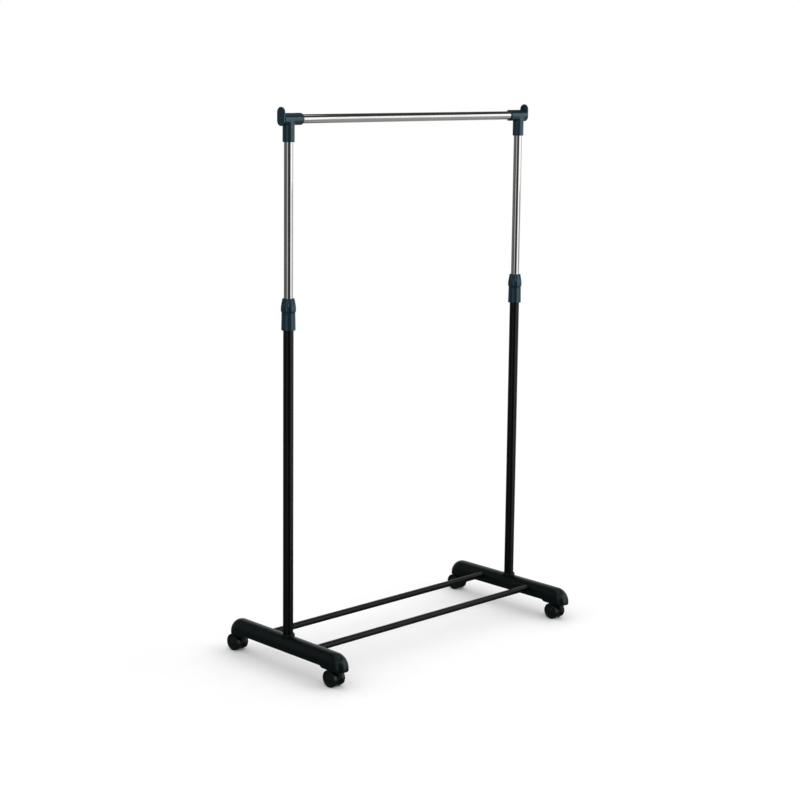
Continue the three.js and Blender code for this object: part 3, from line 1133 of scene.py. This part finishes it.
    def build(self) -> None:
        """Builds the foot and dresses it."""
        bore = self.pole.radius() + FIT
        floor = self.pole.low.z - FIT
        skin = self._skin()
        bosses = [
            *self._castor_sockets(CASTOR_SOCKET_RADIUS + FIT + self.boss_wall, self.underside + self.recess),
            *self._bar_sockets(self.boss_wall, -self.half_width),
        ]
        inside = Form.together(bosses + self._ribs()).within(skin.copied().capped())
        socket = Form.bar(
            self.ring_radius, self.pole.low.z - self.seat, self.ring_top, (0.0, self.ring_round),
        )
        above = self.ring_top + self.bore_flare
        pole_bore = Form.turned([
            Corner(0, self.underside), Corner(self.screw_bore, self.underside),
            Corner(self.screw_bore, floor), Corner(bore, floor),
            Corner(bore, self.ring_top - self.bore_flare), Corner(bore + 2 * self.bore_flare, above),
            Corner(0, above),
        ])
        bores = [
            pole_bore,
            *self._castor_sockets(CASTOR_SOCKET_RADIUS + FIT, self.underside, FIT),
            *self._bar_sockets(0.0, -self.half_width - OVERCUT),
        ]
        shell = skin.thickened(self.wall).softened(self.rim_round)
        foot = shell.joined(inside).joined(socket).cut(Form.together(bores))
        self.put(foot, "foot", "moulding", FOOT_PLASTIC)


# ---- poles, rail and crossbars ----------------------------------------------------------------


@dataclass
class Pole(EndAssembly):
    """Everything on one pole's axis between the foot and the rail."""

    lower_wall: float = 1.0 * MM
    upper_wall: float = 1.0 * MM
    insert_bore: float = 3.1 * MM
    bush_bore: float = 6.0 * MM
    bush_head: float = 10.0 * MM
    screw_radius: float = 2.8 * MM
    head_radius: float = 6.0 * MM
    head_height: float = 3.6 * MM
    slot_depth: float = 2.0 * MM
    slot_reach: float = 3.3 * MM
    slot_half_width: float = 0.66 * MM

    def __post_init__(self) -> None:
        """Takes the pole's sizes from the frame."""
        self.lower = self.box("lower_pole")
        self.upper = self.box("upper_pole")
        self.lower_bore = self.lower.radius() - self.lower_wall
        self.upper_bore = self.upper.radius() - self.upper_wall

    def build(self) -> None:
        """Builds the tubes and what is inside them."""
        lower = Form.tube(self.lower_bore, self.lower.radius(), self.lower.low.z, self.lower.high.z)
        self.put(lower, "lower_pole", "tube", BLACK_PAINT)
        upper = Form.tube(self.upper_bore, self.upper.radius(), self.upper.low.z, self.upper.high.z)
        self.put(upper, "upper_pole", "tube", POLE_CHROME)
        insert = self.box("pole_insert")
        plug = Form.tube(self.insert_bore, self.lower_bore - FIT, insert.low.z, insert.high.z, 0.5 * MM)
        self.put(plug, "pole_insert", "plug", NATURAL_PLASTIC)
        self._bush()
        self._screw()

    def _bush(self) -> None:
        """Builds the bush in the foot of the upper pole."""
        box = self.box("guide_bush")
        low, high = box.low.z, box.high.z
        shoulder = low + self.bush_head
        head = self.lower_bore - FIT
        neck = self.upper_bore - FIT
        bush = Form.turned([
            Corner(self.bush_bore, low, 0.5 * MM), Corner(head, low, 1.0 * MM),
            Corner(head, shoulder, 0.3 * MM), Corner(neck, shoulder),
            Corner(neck, high, 1.0 * MM), Corner(self.bush_bore, high, 0.5 * MM),
        ])
        self.put(bush, "guide_bush", "turning", NATURAL_PLASTIC)

    def _screw(self) -> None:
        """Builds the screw that holds the pole in the foot, with a cross slot in its head."""
        box = self.box("pole_screw")
        low, high = box.low.z, box.high.z
        seat = low + self.head_height
        screw = Form.turned([
            Corner(0, low), Corner(self.head_radius, low, 1.4 * MM),
            Corner(self.head_radius, seat, 0.2 * MM), Corner(self.screw_radius, seat),
            Corner(self.screw_radius, high, 0.9 * MM), Corner(0, high),
        ], steps=40)
        reach, arm = self.slot_reach, self.slot_half_width
        bottom, top = low - OVERCUT, low + self.slot_depth
        slots = Form.block((-reach, -arm, bottom), (reach, arm, top)).joined(
            Form.block((-arm, -reach, bottom), (arm, reach, top)),
        )
        self.put(screw.cut(slots), "pole_screw", "turning", ZINC)


@dataclass
class CrossTubes:
    """The hanging rail, and the two crossbars with the plugs in their ends."""

    rail_wall: float = 1.0 * MM
    bar_wall: float = 0.9 * MM
    plug_bore: float = 3.0 * MM

    def build(self) -> None:
        """Builds the three tubes and the four plugs."""
        rail = Box.of("top_rail").radius("z")
        self._tube("top_rail", "tube", rail - self.rail_wall, rail, 0.2 * MM, RAIL_CHROME)
        for depth in Depth:
            bar = depth.node("crossbar")
            radius = Box.of(bar).radius("z")
            bore = radius - self.bar_wall
            self._tube(bar, "tube", bore, radius, 0.2 * MM, BAR_PAINT)
            for hand in Hand:
                plug = hand.node(depth.node("crossbar_plug"))
                self._tube(plug, "plug", self.plug_bore, bore - FIT, 0.5 * MM, NATURAL_PLASTIC)

    def _tube(
        self, node: str, kind: str, inner: float, outer: float, edge: float, finish: Finish,
    ) -> None:
        """Builds one tube along X.

        Args:
            node: the plain solid that it stands for.
            kind: what the piece is.
            inner: the bore's radius.
            outer: the outer radius.
            edge: the rounding of its rims.
            finish: its surface.
        """
        box = Box.of(node)
        half = box.size.x / 2
        tube = Form.tube(inner, outer, -half, half, edge).along_x()
        tube.moved(*box.middle).finished(node, kind, finish)


# ---- collar -----------------------------------------------------------------------------------


@dataclass
class Collar(EndAssembly):
    """A twist-lock collar: a sleeve with a neck, a split clamping ring and a fluted nut."""

    sleeve_upper_wall: float = 4.0 * MM
    cover: float = 36 * MM
    body: float = 40 * MM
    ring_wall: float = 1.6 * MM
    neck_wall: float = 1.5 * MM
    slit: float = 2.2 * MM
    cone_height: float = 6 * MM
    cone_inset: float = 0.8 * MM
    foot_inset: float = 1.6 * MM
    foot_band: float = 2.4 * MM
    foot_slope: float = 1.9
    grip_top: float = 15 * MM
    grip_round: float = 6.0 * MM
    top_wall: float = 3.5 * MM
    lip: float = 6 * MM
    cavity_cone: float = 1.0 * MM
    flutes: int = 10
    flute_radius: float = 3.4 * MM
    flute_depth: float = 2.0 * MM
    flute_reach: float = 23 * MM
    flute_lean: float = 11.5
    flute_point: Band = (0.62, 0.84)
    flute_shoulder: float = 0.48
    flute_overrun: float = 0.3

    def __post_init__(self) -> None:
        """Takes the collar's sizes from the frame."""
        self.pole_radius = self.box("lower_pole").radius()
        self.slide_radius = self.box("upper_pole").radius()
        self.neck_bore = self.slide_radius + FIT + self.ring_wall + FIT
        self.neck_radius = self.neck_bore + self.neck_wall
        self.throat = self.slide_radius + RUNNING_FIT

    def build(self) -> None:
        """Builds the three pieces of the collar."""
        self._sleeve()
        self._ring()
        self._nut()

    def _sleeve(self) -> None:
        """Builds the sleeve over the end of the lower pole, a little wider at its foot."""
        box = self.box("collar_sleeve")
        low, neck_top = box.low.z, box.high.z
        bore = self.pole_radius + FIT
        top = low + self.body
        ceiling = low + self.cover + FIT
        sleeve = Form.turned([
            Corner(bore, low, 0.3 * MM), Corner(box.radius(), low, 1.3 * MM),
            Corner(self.pole_radius + self.sleeve_upper_wall, top, 0.9 * MM),
            Corner(self.neck_radius, top), Corner(self.neck_radius, neck_top, 0.5 * MM),
            Corner(self.neck_bore, neck_top, 0.3 * MM), Corner(self.neck_bore, top),
            Corner(self.throat, top), Corner(self.throat, ceiling), Corner(bore, ceiling),
        ], steps=96)
        self.put(sleeve, "collar_sleeve", "moulding", SLATE_PLASTIC)

    def _ring(self) -> None:
        """Builds the split ring, coned at its top."""
        box = self.box("collar_collet")
        low, high = box.low.z, box.high.z
        inner = self.slide_radius + FIT
        outer = inner + self.ring_wall
        ring = Form.turned([
            Corner(inner, low), Corner(outer, low), Corner(outer, high - self.cone_height),
            Corner(outer - self.cone_inset, high), Corner(inner, high),
        ])
        half = self.slit / 2
        slit = Form.block((0.0, -half, low - OVERCUT), (2 * outer, half, high + OVERCUT))
        self.put(ring.cut(slit), "collar_collet", "split_ring", NATURAL_PLASTIC)

    def _flute(self, index: int, top: float) -> Form:
        """Makes the cutter for one flute, which runs out in a point down the nut's taper.

        Args:
            index: the flute's number.
            top: the height of the nut's top.

        Returns:
            The cutter.
        """
        radius, reach = self.flute_radius, self.flute_reach
        narrow, near = self.flute_point
        cutter = Form.turned([
            Corner(0, -reach), Corner(radius * narrow, -reach * near, 2.5 * MM),
            Corner(radius, -reach * self.flute_shoulder, 3.0 * MM),
            Corner(radius, reach * self.flute_overrun), Corner(0, reach * self.flute_overrun),
        ], steps=32)
        out = self.slide_radius + self.top_wall - self.flute_depth + radius
        cutter.rotated(-self.flute_lean, "Y").moved(x=out, z=top)
        return cutter.rotated((index + 0.5) * 360 / self.flutes, "Z")

    def _nut(self) -> None:
        """Builds the nut: a slim foot, a wide grip and a taper that the flutes run down."""
        box = self.box("collar_nut")
        low, top = box.low.z, box.high.z
        grip = box.radius()
        foot = grip - self.foot_inset
        bore = self.neck_radius + RUNNING_FIT
        band = low + self.foot_band
        ceiling = top - self.lip
        shoulder = self.box("collar_sleeve").high.z + RUNNING_FIT
        nut = Form.turned([
            Corner(bore, low, 0.3 * MM), Corner(foot, low, 0.5 * MM), Corner(foot, band, 0.6 * MM),
            Corner(grip, band + self.foot_slope * self.foot_inset, 2.0 * MM),
            Corner(grip, low + self.grip_top, self.grip_round),
            Corner(self.slide_radius + self.top_wall, top, 1.0 * MM),
            Corner(self.throat, top, 0.4 * MM), Corner(self.throat, ceiling),
            Corner(self.neck_bore, ceiling - self.cavity_cone),
            Corner(self.neck_bore, shoulder + self.cavity_cone), Corner(bore, shoulder),
        ], steps=120)
        for index in range(self.flutes):
            nut = nut.cut(self._flute(index, top))
        self.put(nut, "collar_nut", "moulding", SLATE_PLASTIC)


# ---- rail connector ---------------------------------------------------------------------------


@dataclass
class Connector(EndAssembly):
    """The T that joins a pole to the rail, with an upright lug at the rail's end."""

    wall: float = 2.95 * MM
    rail_overrun: float = 17 * MM
    end_wall: float = 2.8 * MM
    mouth_round: float = 2.6 * MM
    throat_round: float = 1.5 * MM
    lug_thickness: float = 5 * MM
    lug_width: float = 26 * MM
    lug_drop: float = 1.75 * MM
    lug_round: float = 1.6 * MM
    lug_steps: int = 64
    pocket_radius: float = 5.2 * MM
    pocket_rise: float = 3.55 * MM
    pocket_depth: float = 2.5 * MM
    pocket_run: float = 8 * MM

    def __post_init__(self) -> None:
        """Takes the connector's sizes from the frame."""
        self.body = self.box("rail_connector")
        self.pole = self.box("upper_pole")
        self.height = Box.of("top_rail").middle.z
        self.pole_bore = self.pole.radius() + FIT
        self.rail_bore = Box.of("top_rail").radius("z") + FIT
        self.lug_face = self.rail_overrun + FIT + self.end_wall
        self.mouth = self.body.size.x - self.lug_face - self.lug_thickness

    def _lug(self) -> Form:
        """Makes the lug: a plate with half-round ends and rounded rims.

        Returns:
            The lug in its place.
        """
        mesh = bmesh.new()
        radius = self.lug_width / 2
        low = self.height - self.rail_bore - self.wall - self.lug_drop
        straight = (self.body.high.z - low) / 2 - radius
        half_step = Matrix.Rotation(math.pi / self.lug_steps, 4, "Z")
        bmesh.ops.create_circle(
            mesh, cap_ends=True, segments=self.lug_steps, radius=radius, matrix=half_step,
        )
        for vertex in mesh.verts:
            vertex.co.y += math.copysign(straight, vertex.co.y)
        drawn = bmesh.ops.extrude_face_region(mesh, geom=mesh.faces[:])["geom"]
        raised = [item for item in drawn if isinstance(item, bmesh.types.BMVert)]
        bmesh.ops.translate(mesh, verts=raised, vec=(0, 0, self.lug_thickness))
        lug = Form(mesh).welded().softened(self.lug_round, segments=4)
        lug.rotated(90, "X").rotated(90, "Z")
        return lug.moved(x=self.lug_face, z=low + radius + straight)

    def build(self) -> None:
        """Builds the connector and dresses it."""
        low = self.body.low.z
        sleeve_radius = self.rail_bore + self.wall
        socket = Form.bar(self.pole_bore + self.wall, low, self.height, (0.9 * MM, 0.0), steps=80)
        sleeve = Form.bar(
            sleeve_radius, -self.mouth, self.lug_face + OVERCUT, (self.mouth_round, 0.0), steps=80,
        )
        pole_bore = Form.bar(self.pole_bore, low - OVERCUT, self.pole.high.z + FIT)
        rail_bore = Form.bar(self.rail_bore, -self.mouth - OVERCUT, self.rail_overrun + FIT)
        pocket = Form.bar(self.pocket_radius, -self.pocket_run, self.pocket_depth, steps=40)
        pocket.along_x().moved(x=self.lug_face, z=self.height + sleeve_radius + self.pocket_rise)
        body = socket.joined(sleeve.along_x().moved(z=self.height)).softened(self.throat_round, segments=3)
        body = body.joined(self._lug()).cut(pole_bore)
        body = body.cut(rail_bore.along_x().moved(z=self.height)).cut(pocket)
        self.put(body, "rail_connector", "moulding", SLATE_PLASTIC)


# ---- castor -----------------------------------------------------------------------------------


@dataclass
class Castor(EndAssembly):
    """A twin-wheel castor about its swivel axis, trailing towards +Y."""

    depth: Depth
    wheel_gap: float = 13 * MM
    web_clearance: float = 0.4 * MM
    web_inset: float = 1.6 * MM
    cap_height: float = 3.9 * MM
    stem_radius: float = 3.5 * MM
    stem_ring_rise: float = 0.5 * MM
    stem_ring_height: float = 1.3 * MM
    axle_radius: float = 2.5 * MM
    axle_reach: float = 8 * MM
    flange: float = 1.2 * MM
    tread_round: float = 2.8 * MM
    face_drop: float = 0.4 * MM
    rim_width: float = 4.2 * MM
    rim_slope: float = 1.0 * MM
    dish_depth: float = 2.2 * MM
    hub_radius: float = 7 * MM
    hub_slope: float = 1.4 * MM
    hub_drop: float = 0.5 * MM
    hub_dome: float = 3.0 * MM

    def __post_init__(self) -> None:
        """Takes the castor's sizes from the frame."""
        self.stem = self.box("stem")
        self.housing = self.box("housing")
        self.wheel = self.box("wheel", Hand.RIGHT)
        self.radius = self.wheel.size.z / 2
        self.trail = self.box("axle").middle.y - self.stem.middle.y
        self.half_web = self.wheel_gap / 2 - self.web_clearance

    @property
    def place(self) -> Matrix:
        """Moves a form from the swivel axis to its place on the rack."""
        return Matrix.Translation((self.stem.middle.x, self.stem.middle.y, 0.0))

    def node(self, stem: str, side: Hand | None = None) -> str:
        """The name of one of this castor's nodes, of which a wheel's ends in its side."""
        own = self.hand.node(self.depth.node(f"castor_{stem}"))
        return own if side is None else side.node(own)

    def box(self, stem: str, side: Hand | None = None) -> Box:
        """The box of one of this castor's nodes."""
        return Box.of(self.node(stem, side))

    def build(self) -> None:
        """Builds the castor's pieces."""
        self._housing()
        self._stem()
        self._socket()
        reach = self.wheel_gap / 2 + self.axle_reach
        axle = Form.bar(self.axle_radius, -reach, reach, (0.5 * MM, 0.5 * MM), steps=32)
        self.put(self._about_axle(axle), "axle", "turning", ZINC)
        for side in Hand:
            self._wheel(side)

    def _about_axle(self, form: Form) -> Form:
        """Lays a form along the axle."""
        return form.along_x().moved(y=self.trail, z=self.radius)

    def _housing(self) -> None:
        """Builds the web between the wheels, under a round cap."""
        half = self.half_web
        cap_top = self.housing.high.z
        cap_low = cap_top - self.cap_height
        web_radius = self.radius - self.web_inset
        cap_radius = (self.housing.size.y - (self.trail + web_radius * TUBE_FACET)) / TUBE_FACET
        web = self._about_axle(Form.bar(web_radius, -half, half, (1.2 * MM, 1.2 * MM), steps=72))
        neck = Form.block(
            (-half, -half - self.stem_radius, self.stem.low.z - self.stem_radius),
            (half, self.trail, cap_low + OVERCUT),
        ).softened(1.0 * MM, segments=3)
        cap = Form.bar(cap_radius, cap_low, cap_top, (0.5 * MM, 2.4 * MM), steps=72)
        stem_bore = Form.bar(
            self.stem_radius + RUNNING_FIT, self.stem.low.z - FIT, cap_top + OVERCUT, steps=40,
        )
        axle_bore = Form.bar(self.axle_radius + FIT, -self.wheel_gap, self.wheel_gap, steps=40)
        body = web.joined(neck).joined(cap).cut(stem_bore).cut(self._about_axle(axle_bore))
        self.put(body, "housing", "moulding", FOOT_PLASTIC)

    def _stem(self) -> None:
        """Builds the steel stem with its ring."""
        low, high = self.stem.low.z, self.stem.high.z
        ring_low = self.housing.high.z + self.stem_ring_rise
        ring_high = ring_low + self.stem_ring_height
        ring = self.stem.radius(facet=PIN_FACET)
        stem = Form.turned([
            Corner(0, low), Corner(self.stem_radius, low, 0.5 * MM),
            Corner(self.stem_radius, ring_low), Corner(ring, ring_low, 0.3 * MM),
            Corner(ring, ring_high, 0.3 * MM), Corner(self.stem_radius, ring_high),
            Corner(self.stem_radius, high, 1.0 * MM), Corner(0, high),
        ], steps=40)
        self.put(stem, "stem", "turning", ZINC)

    def _socket(self) -> None:
        """Builds the bush in the foot that grips the stem."""
        box = self.box("socket")
        low, high = box.low.z, box.high.z
        bore = self.stem_radius + FIT
        flange = box.radius(facet=PIN_FACET)
        shoulder = low + self.flange
        ceiling = self.stem.high.z + FIT
        bush = Form.turned([
            Corner(bore, low, 0.4 * MM), Corner(flange, low, 0.3 * MM),
            Corner(flange, shoulder, 0.3 * MM), Corner(CASTOR_SOCKET_RADIUS, shoulder),
            Corner(CASTOR_SOCKET_RADIUS, high, 0.8 * MM), Corner(0, high),
            Corner(0, ceiling), Corner(bore, ceiling),
        ], steps=40)
        self.put(bush, "socket", "bush", NATURAL_PLASTIC)

    def _wheel(self, side: Hand) -> None:
        """Builds a wheel: a round-shouldered tread, a raised rim, a dish and a domed hub.

        Args:
            side: the side of the castor that it is on.
        """
        width = self.wheel.size.x
        face = width - self.face_drop
        dish = width - self.dish_depth
        rim = self.radius - self.rim_width
        hub = self.hub_radius
        bore = self.axle_radius + RUNNING_FIT
        end = self.axle_reach + FIT
        wheel = Form.turned([
            Corner(bore, 0), Corner(self.radius, 0, 1.3 * MM), Corner(self.radius, face, self.tread_round),
            Corner(rim, face, 0.5 * MM), Corner(rim - self.rim_slope, dish, 0.8 * MM),
            Corner(hub + self.hub_slope, dish, 0.8 * MM), Corner(hub, width - self.hub_drop, 0.8 * MM),
            Corner(hub - self.hub_dome, width, 1.6 * MM),
            Corner(0, width), Corner(0, end), Corner(bore, end),
        ], steps=96).moved(z=self.wheel_gap / 2)
        if side is Hand.LEFT:
            wheel.rotated(180, "Y")
        self._about_axle(wheel).finished(self.node("wheel", side), "moulding", WHEEL_PLASTIC, self.place)


# ---- studio -----------------------------------------------------------------------------------


@dataclass(frozen=True)
class Screen:
    """An upright curved screen around the rack that only its reflections see.

    The bearings are in degrees, 0 in front of the rack and growing towards its right-hand end.
    """

    name: str
    start: float
    stop: float
    low: float
    high: float
    glow: float
    distance: float = 3.0
    steps: int = 24


@dataclass(frozen=True)
class Disc:
    """A level round screen that only reflections see."""

    name: str
    x: float
    y: float
    height: float
    radius: float
    glow: float
    steps: int = 48


@dataclass
class Studio:
    """A pale floor and background, soft light, reflecting screens and the camera."""

    white: float = 1.0
    reflected: float = 0.05
    reflected_tint: Colour = (0.9, 0.97, 1.0)
    floor_half: float = 4.0
    floor_fade: Band = (1.4, 3.4)
    floor_tones: Band = (0.965, 0.98)
    mottle_scale: float = 6.0
    mottle_band: Band = (0.3, 0.7)
    floor_roughness: float = 0.6
    lamp_size: float = 2.2
    lamp_power: float = 20.0
    lamp_place: tuple[float, float, float] = (1.7, -2.6, 2.9)
    lamp_aim: tuple[float, float, float] = (0.0, 0.0, 0.6)
    eye: tuple[float, float, float] = (-3.0793, -3.1729, 1.4561)
    bearing: float = -43.915
    elevation: float = 8.944
    roll: float = 0.633
    sensor: float = 36.0
    focal_share: float = 2.2129
    raise_share: float = -0.07
    screens: tuple[Screen, ...] = (
        Screen("left strip", -84, -60, -0.6, 3.2, 0.58),
        Screen("front screen", 3, 38, -0.6, 3.2, 1.3),
        Screen("low right screen", 38, 72, -0.6, 0.95, 0.40),
        Screen("high right screen", 38, 66, 0.95, 2.75, 1.3),
        Screen("back right screen", 72, 165, -0.6, 2.6, 0.70),
        Screen("back screen", 165, 245, -0.6, 2.4, 0.16),
        Screen("side screen", 245, 276, -0.6, 2.4, 0.08),
        Screen("front header", -60, 3, 2.1, 3.6, 0.80),
        Screen("left header", -95, -60, 3.2, 3.9, 0.50),
    )
    discs: tuple[Disc, ...] = (
        Disc("under screen", 2.1, -0.2, -0.01, 1.35, 0.36),
        Disc("overhead screen", 0.0, 0.0, 3.7, 1.8, 0.55),
    )

    def build(self) -> None:
        """Builds the floor, the light, the screens and the camera."""
        self._background()
        self._floor()
        self._light()
        for screen in self.screens:
            self._hang(self._curved(screen), screen.name, screen.glow)
        for disc in self.discs:
            self._hang(self._level(disc), disc.name, disc.glow)
        self._camera()

    def _background(self) -> None:
        """Makes a white surround that lights the rack evenly and shows dim in reflections."""
        world = bpy.data.worlds.new("studio")
        world.use_nodes = True
        bpy.context.scene.world = world
        bpy.context.scene.view_settings.view_transform = "Standard"
        bench = Bench(world.node_tree)
        world.node_tree.nodes.clear()
        bright = bench.node("Background", Color=(1.0, 1.0, 1.0), Strength=self.white).outputs[0]
        dim = bench.node("Background", Color=self.reflected_tint, Strength=self.reflected).outputs[0]
        glossy = bench.node("LightPath").outputs["Is Glossy Ray"]
        mixed = bench.ordered(bench.node("MixShader"), glossy, bright, dim)
        bench.node("OutputWorld", Surface=mixed)

    def _floor(self) -> None:
        """Builds a pale floor that fades into the background."""
        mesh = bmesh.new()
        bmesh.ops.create_grid(mesh, x_segments=1, y_segments=1, size=self.floor_half)
        floor = Form(mesh).loose_object("floor")
        pale = bpy.data.materials.new("pale floor")
        pale.use_nodes = True
        bench = Bench(pale.node_tree)
        shader = pale.node_tree.nodes["Principled BSDF"]
        place = bench.node("TexCoord").outputs["Object"]
        away = bench.node("VectorMath", {"operation": "LENGTH"}, Vector=place).outputs["Value"]
        mottle = bench.ranged(bench.noise(place, self.mottle_scale, detail=4.0), self.mottle_band)
        dark, light = ((tone, tone, tone) for tone in self.floor_tones)
        bench.fill(
            shader, Alpha=bench.ranged(away, self.floor_fade, 1.0, 0.0),
            Base_Color=bench.blended(mottle, dark, light), Roughness=self.floor_roughness,
            Specular_IOR_Level=0.0,
        )
        floor.data.materials.append(pale)
        floor.visible_glossy = False

    def _light(self) -> None:
        """Hangs one large soft light at the front right."""
        lamp = bpy.data.lights.new("soft light", "AREA")
        lamp.shape = "RECTANGLE"
        lamp.size = self.lamp_size
        lamp.size_y = self.lamp_size
        lamp.energy = self.lamp_power
        holder = bpy.data.objects.new("soft light", lamp)
        holder.location = self.lamp_place
        towards = Vector(self.lamp_aim) - holder.location
        holder.rotation_euler = towards.to_track_quat("-Z", "Y").to_euler()
        holder.visible_glossy = False
        bpy.context.scene.collection.objects.link(holder)

    def _hang(self, form: Form, name: str, glow: float) -> None:
        """Puts up a glowing screen that only reflections see.

        Args:
            form: the screen in its place.
            name: its name.
            glow: how bright it is.
        """
        glowing = bpy.data.materials.new(name)
        glowing.use_nodes = True
        Bench(glowing.node_tree).fill(
            glowing.node_tree.nodes["Principled BSDF"], Base_Color=(0.0, 0.0, 0.0),
            Specular_IOR_Level=0.0, Emission_Color=(1.0, 1.0, 1.0), Emission_Strength=glow,
        )
        screen = form.loose_object(name)
        screen.data.materials.append(glowing)
        screen.visible_camera = False
        screen.visible_diffuse = False
        screen.visible_shadow = False
        screen.visible_transmission = False

    def _curved(self, screen: Screen) -> Form:
        """Sweeps an upright edge round the rack.

        Args:
            screen: where it starts and stops.

        Returns:
            The swept form.
        """
        mesh = bmesh.new()
        first = math.radians(screen.start)
        foot = Vector((math.sin(first), -math.cos(first), 0.0)) * screen.distance
        edge = mesh.edges.new([mesh.verts.new((foot.x, foot.y, z)) for z in (screen.low, screen.high)])
        bmesh.ops.spin(
            mesh, geom=[*edge.verts, edge], cent=(0, 0, 0), axis=(0, 0, 1), dvec=(0, 0, 0),
            angle=math.radians(screen.stop - screen.start), steps=screen.steps, use_merge=False,
            use_duplicate=False,
        )
        return Form(mesh)

    def _level(self, disc: Disc) -> Form:
        """Makes a level round sheet.

        Args:
            disc: its place and size.

        Returns:
            The sheet.
        """
        mesh = bmesh.new()
        bmesh.ops.create_circle(mesh, cap_ends=True, segments=disc.steps, radius=disc.radius)
        return Form(mesh).moved(disc.x, disc.y, disc.height)

    def _camera(self) -> None:
        """Sets the camera at the front left, a little above the rack's middle."""
        camera = bpy.data.cameras.new("camera")
        camera.sensor_width = self.sensor
        camera.lens = self.focal_share * self.sensor
        camera.shift_y = self.raise_share
        holder = bpy.data.objects.new("camera", camera)
        level = Matrix.Rotation(math.radians(self.bearing), 4, "Z")
        tilt = Matrix.Rotation(math.radians(90 - self.elevation), 4, "X")
        roll = Matrix.Rotation(math.radians(self.roll), 4, "Z")
        holder.matrix_world = Matrix.Translation(self.eye) @ level @ tilt @ roll
        bpy.context.scene.collection.objects.link(holder)
        bpy.context.scene.camera = holder


# ---- the rack ---------------------------------------------------------------------------------


def main() -> None:
    """Builds the rack from the floor up, then the studio."""
    logging.basicConfig(level=logging.INFO, format="%(message)s")
    for hand in Hand:
        for depth in Depth:
            Castor(hand, depth).build()
        Foot(hand).build()
        Pole(hand).build()
        Collar(hand).build()
        Connector(hand).build()
    CrossTubes().build()
    Studio().build()


if __name__ == "__main__":
    main()
